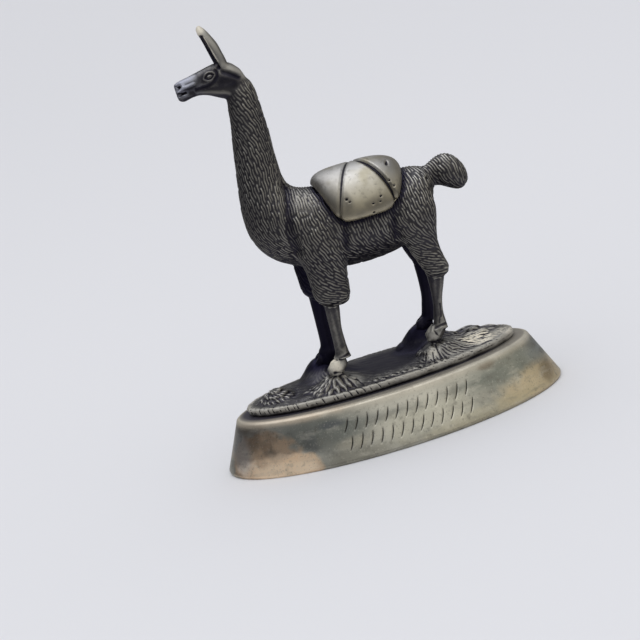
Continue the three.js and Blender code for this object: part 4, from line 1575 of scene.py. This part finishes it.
surface = surface_of(casting)
fleece_at = fleece_test(surface)
ground_at = ground_test(surface)
print(f"wool may grow on the withers: {fleece_at(Vector((-4, -3, plinth_height + 26))) is not None}")

# %% [markdown]
# Real locks are crimped, start thin and run out thin. So each stroke sways in step with its neighbours and
# tapers to nothing at both ends. Its depth also depends on the place: the wool begins low at the edge of
# the face, and the grass is worn flat where nothing sheltered it.

# %% Sway and depth of a stroke
crimp_length = 1.8
face_margin = 1.6
smooth_spots = [
    # x, y, radius: stone and leaves that no grass grows over
    (-3.7, -4.7, 1.6), (-6.6, -4.8, 3.4), (7, -4.2, 1.3), (0.5, 1.5, 5),
]
least_grass, tail_grass, bare_loss = 0.15, 0.6, 0.85


def crimped(stroke, sway):
    path = []
    for place, normal, way in stroke:
        level = place.z * 0.95 - place.x * 0.35 + 0.3 * math.sin(place.x * 1.1)
        phase = 2 * math.pi * level / crimp_length
        path.append(place + normal.cross(way) * (sway * math.sin(phase)))
    return path


def stroke_taper(stroke, strength_at):
    """Depth at each point: quick to start, slower to run out, and set by the place."""
    along = np.linspace(0.05, 0.95, len(stroke))
    taper = np.clip(np.minimum(along * 8, (1 - along) * 6), 0, 1) ** 0.7
    return taper * [strength_at(place) for place, _, _ in stroke]


def grass_strength(place):
    """Grass is deep round the near hooves, at both ends and along the near rim, and worn flat elsewhere."""
    near = max(math.exp(-((math.hypot(place.x - x, place.y - y) / (reach + 1)) ** 4))
               for x, y, reach, _ in grass_fans)
    front = eased((-place.y - 3.2) / 1.5)
    tail_end = eased((place.x - 8.5) / 2)
    bare = max(eased(1.5 - math.hypot(place.x - x, place.y - y) / radius) for x, y, radius in smooth_spots)
    return float(max(least_grass, near, front, tail_grass * tail_end) * (1 - bare_loss * bare))


def wool_strength(place):
    z = place.z - plinth_height
    away = distance_from_line(np.array([[place.x, z]]), wool_edge)[0] if z > 38 else 2.0
    return 0.35 + 0.65 * eased(away / face_margin)


print(f"grass is {grass_strength(Vector((-5, -3, 0))):.2f} deep at the near fore hoof and "
      f"{grass_strength(Vector((0, 2, 0))):.2f} behind the legs")

# %% [markdown]
# The cord was nicked one cut at a time, so its cuts are short, slanted and unevenly spaced. They run
# down the outside, except at the tail end. Long wavy cuts lie on the ground there, one row behind the
# other, and are dropped onto it from above.

# %% Cuts over the rim and at the tail end
nick_shares = np.linspace(0, 1.6, 9)  # along a nick: 0 to 1 on the top, and past 1 down the outside
nick_inside = np.array([0.4, 0.8, 1, 1, 1, 0.8, 0, 0, 0])
nick_outside = np.array([0, 0, 0, 0, 0, 0.2, 0.9, 0.7, 0.3])
tail_outside = 0.15  # of the outside part, in the tail half
tail_rows = np.linspace(-0.66, 0.3, 12)
tail_starts, tail_ends, tail_within = (0.46, 0.56), (0.72, 0.86), 0.9


def rim_nicks():
    chance, paths, turn = np.random.default_rng(17), [], 0.0
    while turn < 2 * math.pi:
        reach = ground_half_length * abs(math.sin(turn)) + ground_half_width * abs(math.cos(turn))
        grown = eased(math.cos(turn) / 0.3)  # the cuts reach further in towards the tail end
        slant, length = (0.45 + 0.4 * grown) / reach, chance.uniform(0.45, 0.9) + 0.5 * grown
        path = []
        for share in nick_shares:
            inset, a = length * max(0, 1 - share) - 0.05, turn + slant * share
            x, y = (ground_half_length - inset) * math.cos(a), (ground_half_width - inset) * math.sin(a)
            path.append((x, y, plinth_height + ground_rim_top - 0.12 * share - max(0, share - 1)))
        paths.append(path)
        turn += chance.uniform(0.5, 1.7) * (1 - 0.25 * grown) / reach
    fades = [nick_inside + nick_outside * (tail_outside if path[0][0] > 0 else 1.0) for path in paths]
    return line_object("nick_lines", paths, [fade * chance.uniform(0.3, 1.0) for fade in fades])


def tail_cuts(surface):
    chance, paths = np.random.default_rng(19), []
    for row in tail_rows:
        start, end = (ground_half_length * chance.uniform(*ends) for ends in (tail_starts, tail_ends))
        path = []
        for x in np.linspace(start, end, 24):
            y = ground_half_width * (row + 0.02 * math.sin(2.4 * x + 7 * row))
            if share_to_edge(x, y) < tail_within:
                path.append(surface.ray_cast(Vector((x, y, plinth_height + 8)), Vector((0, 0, -1)))[0])
        paths.append(path)
    return line_object("tail_lines", paths, [np.sin(np.linspace(0.3, 2.9, len(path))) for path in paths])


nick_lines, tail_lines = rim_nicks(), tail_cuts(surface)
print(f"nicks: {len(nick_lines.data.vertices)} points, tail cuts: {len(tail_lines.data.vertices)}")

# %% Cut the wool, the grass and the rim
wool_pitch, grass_pitch = 0.34, 0.44
fleece_from, ground_to = 10.5, 4  # seeds are taken over and under these heights

points = read_points(casting)
upper = points[points[:, 2] > plinth_height + fleece_from][::9]
wool_strokes = trace(fleece_at, wool_way, upper, wool_pitch, lengths=(1.8, 3.4), seed=7)
heights = np.random.default_rng(27).uniform(0.6, 1.1, len(wool_strokes))  # no two locks are alike
wool_tapers = [height * stroke_taper(s, wool_strength) for s, height in zip(wool_strokes, heights)]
wool_lines = line_object("wool_lines", [crimped(s, sway=0.055) for s in wool_strokes], wool_tapers)
lower = points[points[:, 2] < plinth_height + ground_to][::9]
grass_strokes = trace(ground_at, grass_way, lower, grass_pitch, lengths=(1.2, 2.8), seed=8)
grass_tapers = [stroke_taper(s, grass_strength) for s in grass_strokes]
grass_lines = line_object("grass_lines", [crimped(s, sway=0.06) for s in grass_strokes], grass_tapers)
groove(casting, wool_lines, half_width=0.55 * wool_pitch, depth=-0.13)
groove(casting, grass_lines, half_width=0.18, depth=0.11)
groove(casting, nick_lines, half_width=0.16, depth=0.17)
groove(casting, tail_lines, half_width=0.2, depth=0.17)
print(f"{len(wool_strokes)} strokes of wool and {len(grass_strokes)} of grass cut")

# %% [markdown]
# ## Thinning
#
# The melted skin has the same small faces everywhere. Thinning keeps them where the surface bends and
# lets them go where it's flat. One number is read off the fine skin first, because it needs even faces:
# how hollow each point is against the metal right round it.

# %% Measure the hollows, then thin the casting and the pack
hollow_scale = 0.16  # from the sharpest crest to the deepest hollow, in mm


def hollowness(made, rounds):
    """0 on sharp crests, 0.5 on plain metal, 1 at the bottom of grooves."""
    points, normals, ends = read_points(made), read_points(made, "normal"), edge_ends(made)
    lifted = averaged(points, ends, rounds) - points
    return np.clip(0.5 + (lifted * normals).sum(1) / hollow_scale, 0, 1)


def count_triangles(made):
    made.data.calc_loop_triangles()
    return len(made.data.loop_triangles)


def thinned(made, goal):
    count = count_triangles(made)
    if count > goal:
        thin = made.modifiers.new("thin", "DECIMATE")
        thin.ratio = goal / count
        settle(made)
    print(f"{made.name}: {count} triangles down to {count_triangles(made)}")


for made, rounds in ((casting, 14), (pack, 14), (plinth, 12)):
    store_values(made, "hollow", hollowness(made, rounds))
thinned(casting, goal=195000)
thinned(pack, goal=90000)

# %% [markdown]
# ## What the finish needs to know
#
# Oxide stays in the hollows and is rubbed off the crests, and shade and highlights are painted over that.
# So each point of the casting keeps three more numbers: how much of the room it sees, by which shade is
# painted where it sees little; how much it's rubbed or given a painted highlight; and how far oxide stays
# on it or shade is painted. The first comes from sending out short rays from every point and counting how
# many meet nothing.

# %% How much of the room each point sees
open_rays = 14
open_reach = 9.0
open_rounds = 10
ray_start = 0.05  # over the surface, clear of the face that a ray starts from


def openness(made, blockers, all_ways=256):
    """Share of the room that each point sees, evened out along the surface."""
    shells = [(read_points(b), [tuple(f.vertices) for f in b.data.polygons]) for b in blockers]
    blocked = surface_over(together(shells))
    points, normals, ends = read_points(made), read_points(made, "normal"), edge_ends(made)
    chance = np.random.default_rng(5)
    ways = chance.normal(size=(all_ways, 3))
    ways /= np.linalg.norm(ways, axis=1)[:, None]
    open_share = np.zeros(len(points))
    for i, (point, normal) in enumerate(zip(points, normals)):
        start = Vector(point + normal * ray_start)
        sent = ways[chance.integers(0, all_ways, open_rays)] + normal * 1.001
        free = sum(blocked.ray_cast(start, Vector(way), open_reach)[0] is None for way in sent)
        open_share[i] = free / open_rays
    return averaged(open_share, ends, open_rounds)[:, 0]


# the share of the room each point sees, for the painted shade in the finish
open_share = openness(casting, [casting, pack, plinth])
store_values(casting, "open", open_share)
print(f"the casting sees {100 * open_share.mean():.0f}% of the room on average")

# %% [markdown]
# Wear and painted light are given place by place: spots that are rubbed bright or given a painted highlight,
# lines of painted highlight, and lines and places of painted shade, where oxide stays as well. The lines
# are drawn on the side view, like the pressed ones.

# %% Spots and lines of wear, painted highlight and painted shade
rubbed_or_highlit_spots = [
    # middle, radius, strength
    [(-5.4, -2.9, 3.7), 1.5, 1], [(8, -2.9, 4), 1.2, 0.9], [(7, 1.9, 4.8), 0.7, 0.5],  # hooves
    [(-6, -4.8, 1.9), 2.4, 0.5], [(-3.7, -4.7, 1.6), 1.3, 0.6],  # fans and rock at the fore hoof
    [(-14, -1.6, 2), 1.6, 0.2],  # tuft
    [(7, -4.6, 1.9), 1.3, 0.72],  # rock at the hind hoof
    [(13.6, -1.8, 1.9), 3.4, 1], [(17, -1.2, 1.4), 2.2, 0.8],  # tail end of the ground
    [(3.8, -7, 1.4), 1.5, 0.5], [(7, -6.9, 1.4), 1.6, 0.55], [(10.2, -5.8, 1.4), 2, 0.6],  # near rim
    # withers: a painted highlight on the top of the shoulder
    [(-3, -3.6, 27.2), 2.4, 0.65], [(11.7, -3.2, 12.8), 1.3, 0.3],  # withers and hock
    [(-9.9, -0.75, 50.4), 1.3, 0.85], [(-9.9, 0.75, 50.4), 1.3, 0.85],  # ear tips
]
# painted highlights on the lit ridges and edges of the head and ear
highlight_lines = [  # half width, strength, line
    [0.55, 0.6, [(-8.3, 45.4), (-7.3, 44.8), (-6.4, 43.95), (-5.95, 43.2)]],  # ridge behind the ear
    [0.38, 0.45, [(-12.2, 42.8), (-10.6, 42.45), (-9, 42), (-8.5, 41.7)]],  # jaw
    [0.75, 0.62, [(-14.1, 44.75), (-13, 44.7), (-12.4, 44.8)]],  # top of the muzzle
    [0.25, 0.6, [(-14.6, 43.75), (-13.9, 44), (-12.8, 44.2)]],  # upper lip
    [0.5, 0.55, [(-9.1, 49.9), (-8.6, 48.2), (-8.2, 46.6), (-8.1, 45.6)]],  # back of the ear
    [0.16, 0.9, [(-9.42, 49.4), (-9.12, 47.9), (-8.85, 46.9), (-8.6, 46)]],  # rim of its cup
]
shadow_lines = [
    [0.34, 1, ear_cup_line],
    [1.1, 0.75, [(-9, 43.8), (-7.3, 43.4)]],  # cheek
    [0.6, 0.55, behind_eye_line],
    [1, 0.4, [(-10.9, 44.4), (-9.7, 44.6)]],  # round the eye
    [0.35, 0.5, [(-13.7, 43.75), (-12.4, 43.65)]],  # side of the muzzle
    [0.45, 0.7, [(-9, 45.8), (-8.7, 45.2)]],  # foot of the ear
    [1.8, 0.3, [(-3.6, 18), (-2.8, 15)]],  # upper foreleg
    [0.7, 0.6, [(9.35, 11.5), (8.95, 8.5), (8.7, 6.5)]],  # front of the hind leg
    [0.5, 0.35, [(-11.3, 45.3), (-10.3, 45.5), (-9.3, 45.8)]],  # forehead
    [0.6, 0.6, [(-4.9, 28), (-5.6, 25.4), (-6.3, 22.6), (-6, 20.4)]],  # before the shoulder
    [0.5, 0.6, [(1.1, 23.4), (0.6, 21), (0.2, 18.6)]],  # behind the shoulder
    [0.5, 0.6, [(7.2, 21.6), (6.7, 19.8), (6.8, 18)]],  # before the haunch
]
# painted shade on the ground under the body and the neck
dark_grounds = [(1.0, 0.5, 6.0, 4.2, 0.85), (-10.6, -0.6, 2.0, 3.4, 0.5)]  # middle, half sizes, strength
print(f"{len(rubbed_or_highlit_spots)} rubbed spots, {len(highlight_lines)} light lines and {len(shadow_lines)} dark ones")

# %% Rubbed or painted highlight, and oxide or painted shade
# the cord is lightened for its wear and, on its side, as painted light
rim_rub_or_highlight, rim_from = 0.66, 0.94
beside_pack, under_belly, underneath = 0.85, 18.5, 0.8


def rubbing_or_highlights(points):
    rubbed_or_highlit = np.zeros(len(points))
    for (x, y, z), radius, strength in rubbed_or_highlit_spots:
        away = np.linalg.norm(points - [x, y, z + plinth_height], axis=1)
        rubbed_or_highlit = np.maximum(rubbed_or_highlit, strength * eased(1.4 - away / radius))
    return rubbed_or_highlit


def along_lines(points, outward, rows):
    """Up to each row's strength near its line, on the parts that face outwards."""
    flat, share = points[:, [0, 2]] - [0, plinth_height], np.zeros(len(points))
    for half_width, strength, line in rows:
        low, high = np.min(line, 0) - 1.3 * half_width, np.max(line, 0) + 1.3 * half_width
        near = np.nonzero(np.all((flat > low) & (flat < high), axis=1))[0]
        close = strength * eased(1.3 - distance_from_line(flat[near], line) / half_width)
        share[near] = np.maximum(share[near], close * eased((outward[near] + 0.2) / 0.4))
    return share


def top_of_rim(points):
    """1 on the cord and 0 off it."""
    height = points[:, 2] - plinth_height
    on_rim = eased((share_to_edge(points[:, 0], points[:, 1]) - rim_from) / 0.03)
    return on_rim * (eased((height - 0.25) / 0.3) * (points[:, 2] < plinth_height + 2))


def unpolished_or_shaded(points, normals, outward):
    """1 where oxide stays or shade is painted: between the legs, underneath, beside the pack, on shadow
    lines.
    """
    height = points[:, 2] - plinth_height
    foot = np.where(points[:, 1] < 0, 5.0, 1.5)
    # inner sides of the legs: painted shade, with oxide left there too
    inward = eased((4.2 - np.abs(points[:, 1])) / 1.2)
    between = inward * eased((under_belly - height) / 2) * eased((height - foot) / 1.5)
    # painted shade on faces that look down
    facing_down = underneath * eased(-normals[:, 2] / 0.7) * (height > 3)
    kept = np.maximum(between * eased(0.55 - outward * 1.2), facing_down)
    # painted shadow beside the pack
    beside, swell = np.zeros(len(points)), surface_over(pack_swell)
    for i in np.nonzero((height > 20) & (points[:, 0] > -4))[0]:
        beside[i] = beside_pack * eased(1.3 - swell.find_nearest(Vector(points[i]))[3] / 0.7)
    for x, y, half_length, half_width, strength in dark_grounds:
        away = np.hypot((points[:, 0] - x) / half_length, (points[:, 1] - y) / half_width)
        kept = np.maximum(kept, strength * eased((1.25 - away) / 0.4) * (height < 2.4))
    return np.maximum.reduce([kept, beside, along_lines(points, outward, shadow_lines)])


points, normals = read_points(casting), read_points(casting, "normal")
outward = np.sign(points[:, 1]) * normals[:, 1]
rubbed_or_highlit = np.maximum.reduce([rubbing_or_highlights(points), along_lines(points, outward, highlight_lines),
                            rim_rub_or_highlight * top_of_rim(points)])
store_values(casting, "rub", rubbed_or_highlit)
store_values(casting, "kept", unpolished_or_shaded(points, normals, outward))
print(f"{100 * (rubbed_or_highlit > 0.3).mean():.0f}% of the casting's points are rubbed bright")

# %% [markdown]
# ## Finishes
#
# Three finishes of the same metal. Each is one Principled shader whose colour is built up in layers, as
# tarnish is, with painted light and shade among them. Helpers lay tones and blots over a colour, so that a
# finish can be written as a list.

# %% Finish helpers
def kept_number(tree, name):
    return add_node(tree, "ShaderNodeAttribute", attribute_name=name).outputs["Fac"]


def bumped(tree, height, strength, distance):
    inputs = {"Height": height, "Strength": strength, "Distance": distance * MM}
    return add_node(tree, "ShaderNodeBump", inputs).outputs[0]


def toned(tree, shade, rows):
    """Lay tones over a colour: rows of [what it follows, from, to, strength, colour]."""
    for follows, low, high, strength, tint in rows:
        shade = mixed(tree, remap(tree, follows, low, high, 0.0, strength), shade, colour(*tint))
    return shade


def blotted(tree, shade, place, wobble, rows):
    """Lay blots over a colour: rows of [middle, half sizes, strength, colour, softness of the edge]."""
    for middle, half, strength, tint, soft in rows:
        blot = painted_spot(tree, place, middle, half, wobble, soft)
        shade = mixed(tree, sums(tree, "MULTIPLY", blot, strength), shade, colour(*tint))
    return shade


def finish_piece(made, node, slot, layers):
    """Bring a finished piece to metres, dress it and put it in place of its solid."""
    finish, tree = new_finish(slot)
    close_finish(tree, layers(tree, place_in_mm(tree)))
    made.data.transform(Matrix.Scale(MM, 4))
    made.data.materials.clear()
    made.data.materials.append(finish)
    made.data.shade_smooth()
    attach(made, "root")
    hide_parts(node)
    print(f"{made.name}: {count_triangles(made)} triangles")


print("finish helpers are ready")

# %% [markdown]
# ## Plinth finish
#
# The plinth is polished silver that has tarnished grey-green, with tan blots low on the left and along the
# lower right, brown smudges among them, and a light middle where it's polished most. A painted highlight
# runs along the top edge, warm and tan on the left. The ledge beside the ground is dark, from tarnish and
# a painted shadow under the ground's edge. Clouds, mottling and fine specks lie over it all, each from
# noise of its own size.

# %% Blots on the plinth
plinth_blots = [
    # middle, half sizes, strength, colour, softness of the edge
    [(-9.5, -9, 4.6), (6.5, 8, 2.3), 0.75, (128, 132, 124), 0.5],  # grey-green left of the middle
    [(-8.6, -9, 5.1), (1.8, 5, 0.5), 0.5, (100, 104, 112), 0.5],
    [(-11.6, -8, 3.4), (0.9, 5, 1.4), 0.4, (100, 102, 106), 0.6],
    [(-6.4, -9, 2.4), (2.2, 6, 0.7), 0.4, (216, 206, 180), 0.5],
    [(14.5, -7, 5.2), (6.5, 9, 2), 0.65, (140, 145, 134), 0.5],  # and on the right
    [(-17.8, -5.5, 2.2), (4.8, 6.5, 3.5), 0.8, (240, 206, 168), 0.14],  # tan on the left, with a crisp edge
    [(-13.4, -8, 0.9), (3, 6, 1.5), 0.75, (240, 208, 170), 0.12],
    # painted highlight along the top edge, warm and tan on the left and carried lower in the middle
    [(-14, -7.5, 7), (8, 6, 0.8), 0.55, (210, 186, 158), 0.35],  # warm band along the top edge
    [(4, -11, 5.7), (10, 8, 0.8), 0.55, (252, 246, 226), 0.5],
    [(19.5, -5, 1.5), (6.5, 7, 1.9), 0.7, (238, 216, 174), 0.4],  # tan low on the right
    [(21.5, -3, 5.4), (3, 5, 1.5), 0.7, (178, 184, 182), 0.5],  # cool grey over it
    [(11, -9, 0.8), (10, 7, 0.9), 0.5, (212, 200, 166), 0.4],
    [(-20.8, -4, 4), (1.4, 4, 3), 0.7, (190, 188, 184), 0.4],  # cool grey round the left end
    [(-19.6, -5, 6.2), (2.6, 4, 1.1), 0.85, (132, 122, 110), 0.5],  # brown under its top edge
    [(-15.6, -7, 0.7), (4.6, 6, 1.1), 0.6, (255, 232, 200), 0.3],  # pale along the foot
    [(-18.8, -6.5, 4.6), (1.3, 4, 1.3), 0.6, (120, 102, 88), 0.5],  # brown smudges
    [(-17.2, -7, 3.4), (0.8, 4, 1), 0.45, (126, 108, 94), 0.5],
    [(-16.3, -7, 5), (0.8, 4, 0.7), 0.45, (150, 134, 118), 0.5],
    [(-18.6, -7, 2), (0.8, 4, 0.6), 0.4, (160, 140, 120), 0.5],
    [(4, -11, 2.8), (7.5, 8, 1.8), 0.6, (246, 240, 216), 0.5],  # light where it's polished most
    [(-6, -10, 0.9), (4.5, 8, 1), 0.6, (150, 146, 130), 0.5],  # dull along the foot
    [(13.2, -9, 6), (1.5, 3, 0.45), 0.6, (120, 100, 80), 0.4],  # two more smudges on the right
    [(20.8, -4.5, 2), (0.9, 4, 1.2), 0.5, (130, 108, 80), 0.5],
]
print(f"{len(plinth_blots)} blots for the plinth")

# %% Plinth finish
ledge_shift = (0.5, 0, 0)  # the dark ledge is wider towards the head end
ledge_half = (ground_half_length + 0.75, ground_half_width + 0.5, 1e9)
# a painted highlight, lighter and warmer towards the rounded top edge
edge_highlight = (plinth_height - 1.3, plinth_height - 0.4, 0.4, (228, 214, 190))  # from, to, strength, colour


def plinth_colour(tree, place, height, on_top, ledge_dark, drift):
    cloud = speckle(tree, place, 4.5, 4.0)
    mottle = speckle(tree, place, 0.9, 4.0)
    fine = speckle(tree, place, 0.25, 2.0)
    smear = speckle(tree, place, 1.3, 4.0, (0.35, 0.35, 1.2))
    silver = mixed(tree, remap(tree, cloud, 0.35, 0.65), colour(208, 205, 190), colour(178, 177, 164))
    silver = blotted(tree, silver, place, drift, plinth_blots)
    silver = toned(tree, silver, [
        (smear, 0.5, 0.72, 0.4, (146, 142, 130)),
        (smear, 0.46, 0.3, 0.35, (236, 230, 212)),
        (mottle, 0.55, 0.75, 0.45, (126, 122, 110)),
        (fine, 0.58, 0.74, 0.35, (110, 104, 94)),
        (fine, 0.4, 0.28, 0.35, (236, 230, 212)),
        (kept_number(tree, "hollow"), 0.56, 0.75, 1, (60, 56, 52)),  # engraved strokes
        # painted highlight towards the top edge
        (height, *edge_highlight),
    ])
    silver = mixed(tree, sums(tree, "MULTIPLY", on_top, 0.75), silver, colour(112, 108, 102))
    # the ledge by the ground: tarnish and painted shadow, a bluish dark
    return cloud, mixed(tree, sums(tree, "MULTIPLY", ledge_dark, 0.9), silver, colour(46, 44, 60))


def ledge_shadow(tree, place, length, on_top):
    """1 on the ledge near the ground, for its tarnish and painted shadow; it fades where the plinth runs out
    at the tail end.
    """
    across = place_sums(tree, "DIVIDE", place_sums(tree, "ADD", place, ledge_shift), ledge_half)
    from_rim = place_sums(tree, "LENGTH", across)
    shadow = sums(tree, "MULTIPLY", on_top, remap(tree, from_rim, 1.02, 0.965))
    return sums(tree, "MULTIPLY", shadow, remap(tree, length, 13.5, 17.0, 1.0, 0.4))


def plinth_finish(tree, place):
    parts = add_node(tree, "ShaderNodeSeparateXYZ", {0: place}).outputs
    height = parts["Z"]
    on_top = remap(tree, height, plinth_height - 0.12, plinth_height - 0.02)
    drift = speckle(tree, place, 2.0, 1.5)
    dark = ledge_shadow(tree, place, parts["X"], on_top)
    cloud, silver = plinth_colour(tree, place, height, on_top, dark, drift)
    satin = remap(tree, cloud, 0.2, 0.8, 0.32, 0.46)
    matt_edge = remap(tree, height, plinth_height - 0.4, plinth_height, 0.0, 0.6)
    top_edge = remap(tree, height, plinth_height - 1.0, plinth_height - 0.3, 1.0, 0.6)
    crust = painted_spot(tree, place, (-15.8, -7, 1.2), (5.6, 7, 1.6), drift, soft=0.3)  # matt tan
    metal = sums(tree, "MINIMUM", remap(tree, on_top, 0, 1, 1.0, 0.4), top_edge)
    metal = sums(tree, "MINIMUM", metal, remap(tree, crust, 0, 1, 1.0, 0.6))
    scratch = speckle(tree, place, 0.5, 2.0, (0.12, 0.12, 1.6))
    return {"Base Color": silver, "Metallic": metal, "Roughness": sums(tree, "MAXIMUM", satin, matt_edge),
            "Normal": bumped(tree, scratch, 0.08, 0.03)}


finish_piece(plinth, "plinth", "plinth_silver", plinth_finish)

# %% [markdown]
# ## Casting finish
#
# The casting is silver under a dark bluish oxide. A dip darkens all of it, and polishing then takes the
# oxide off the crests and leaves it in the hollows. Shade is painted over that: darker where a point sees
# little of the room, between the legs, underneath, beside the pack and along the shadow lines. Painted
# highlights lie on the ridges of the head, the withers and the cord. So the numbers on the points are
# worked into one share, how worn the oxide is, and the rest follows from it. The muzzle's silver is cooler.

# %% Casting finish
def worn_or_shaded_share(tree, hollow, seen, rub, kept, cloud, grain):
    """How far the oxide is worn off, less where shade is painted, and how bright polished spots and painted
    highlights are.
    """
    crest = remap(tree, sums(tree, "MULTIPLY_ADD", grain, -0.2, sums(tree, "ADD", hollow, 0.1)), 0.54, 0.22)
    # crests that see little of the room stay dark: painted shade
    worn = sums(tree, "MULTIPLY", crest, sums(tree, "MULTIPLY_ADD", seen, 0.66, 0.12))
    worn = sums(tree, "MULTIPLY", worn, remap(tree, cloud, 0.3, 0.7, 0.6, 1.0))
    bright = sums(tree, "MULTIPLY", rub, remap(tree, hollow, 0.68, 0.44))
    # painted shade and unpolished oxide both hold the wear back
    spared_or_shaded = remap(tree, kept, 0.0, 1.0, 1.0, 0.05)
    return sums(tree, "MULTIPLY", sums(tree, "MAXIMUM", worn, bright), spared_or_shaded), bright


def casting_finish(tree, place):
    hollow, open_share, rub, kept = (kept_number(tree, name) for name in ("hollow", "open", "rub", "kept"))
    cloud, grain = speckle(tree, place, 2.2), speckle(tree, place, 0.3, 4.0)
    seen = remap(tree, open_share, 0.2, 0.85)
    worn, bright = worn_or_shaded_share(tree, hollow, seen, rub, kept, cloud, grain)
    plain = mixed(tree, cloud, colour(94, 92, 97), colour(87, 85, 82))
    # painted shade: the oxide is darker where a point sees little of the room
    oxide = mixed(tree, seen, colour(44, 42, 50), plain)
    oxide = mixed(tree, remap(tree, hollow, 0.53, 0.8), oxide, colour(68, 65, 72))
    # painted shade and unpolished oxide, a bluish dark
    oxide = mixed(tree, kept, oxide, colour(38, 36, 54))
    silver = mixed(tree, cloud, colour(214, 208, 190), colour(200, 198, 190))
    # the brightest places turn warm cream: wear, partly a painted highlight
    silver = mixed(tree, remap(tree, bright, 0.6, 0.95), silver, colour(244, 236, 216))
    muzzle = painted_spot(tree, place, (-13.6, 0, plinth_height + 44.2), (2.4, 3, 1.8), grain, soft=0.6)
    silver = mixed(tree, muzzle, silver, colour(206, 209, 222))
    smooth, scratched = remap(tree, worn, 0, 1, 0.46, 0.34), remap(tree, bright, 0.1, 0.7, 0, 0.5)
    return {"Base Color": mixed(tree, worn, oxide, silver),
            # rubbed places and painted highlights are matt
            "Metallic": remap(tree, bright, 0.2, 1.0, 1.0, 0.35),  # rubbed places are matt
            "Roughness": sums(tree, "MAXIMUM", smooth, scratched), "Normal": bumped(tree, grain, 0.25, 0.03)}


finish_piece(casting, "llama_on_ground", "oxidised_silver", casting_finish)

# %% [markdown]
# ## Pack finish
#
# The pack is satin silver, cool on top and warmer lower down, a painted reflection of the cool room above
# and the warm things below. Two broad soft blots at the rear top and the front are painted shade with some
# tarnish; tarnish has settled in two smaller blots and fills the rope lines and pits. Fine streaks run up
# and down it, as polishing leaves them.

# %% Pack finish
pack_blots = [
    # middle, half sizes, strength, colour, softness of the edge
    # painted shade with some tarnish, at the rear top and the front, where the pack faces the darker room
    [(9.2, -3, 33), (2.6, 4, 3.4), 0.45, (118, 114, 108), 0.6],
    [(-0.9, -4, 32.6), (2.5, 5, 3.4), 0.5, (118, 114, 108), 0.6],
    [(5.4, -5, 30.6), (1.4, 4, 0.7), 0.45, (118, 114, 108), 0.6],
    [(1.9, -5, 31.6), (0.6, 4, 1), 0.5, (118, 114, 108), 0.6],
]


def pack_finish(tree, place):
    cloud, smudge = speckle(tree, place, 3.5), speckle(tree, place, 0.8, 4.0)
    streak = speckle(tree, place, 0.7, 3.0, (1, 1, 0.3))
    height = add_node(tree, "ShaderNodeSeparateXYZ", {0: place}).outputs["Z"]
    # painted reflection: cool from the room above, warmer from the things below
    silver = mixed(tree, remap(tree, height, 35.5, 30.0), colour(206, 203, 196), colour(210, 200, 172))
    silver = toned(tree, silver, [
        (cloud, 0.45, 0.7, 1, (186, 179, 158)),
        (smudge, 0.56, 0.74, 0.5, (120, 116, 108)),
    ])
    silver = blotted(tree, silver, place, smudge, pack_blots)
    silver = toned(tree, silver, [(kept_number(tree, "hollow"), 0.54, 0.72, 1.0, (50, 48, 54))])
    return {"Base Color": silver, "Metallic": 1.0, "Roughness": remap(tree, streak, 0.2, 0.8, 0.36, 0.5),
            "Normal": bumped(tree, streak, 0.12, 0.05)}


finish_piece(pack, "pack", "pack_silver", pack_finish)
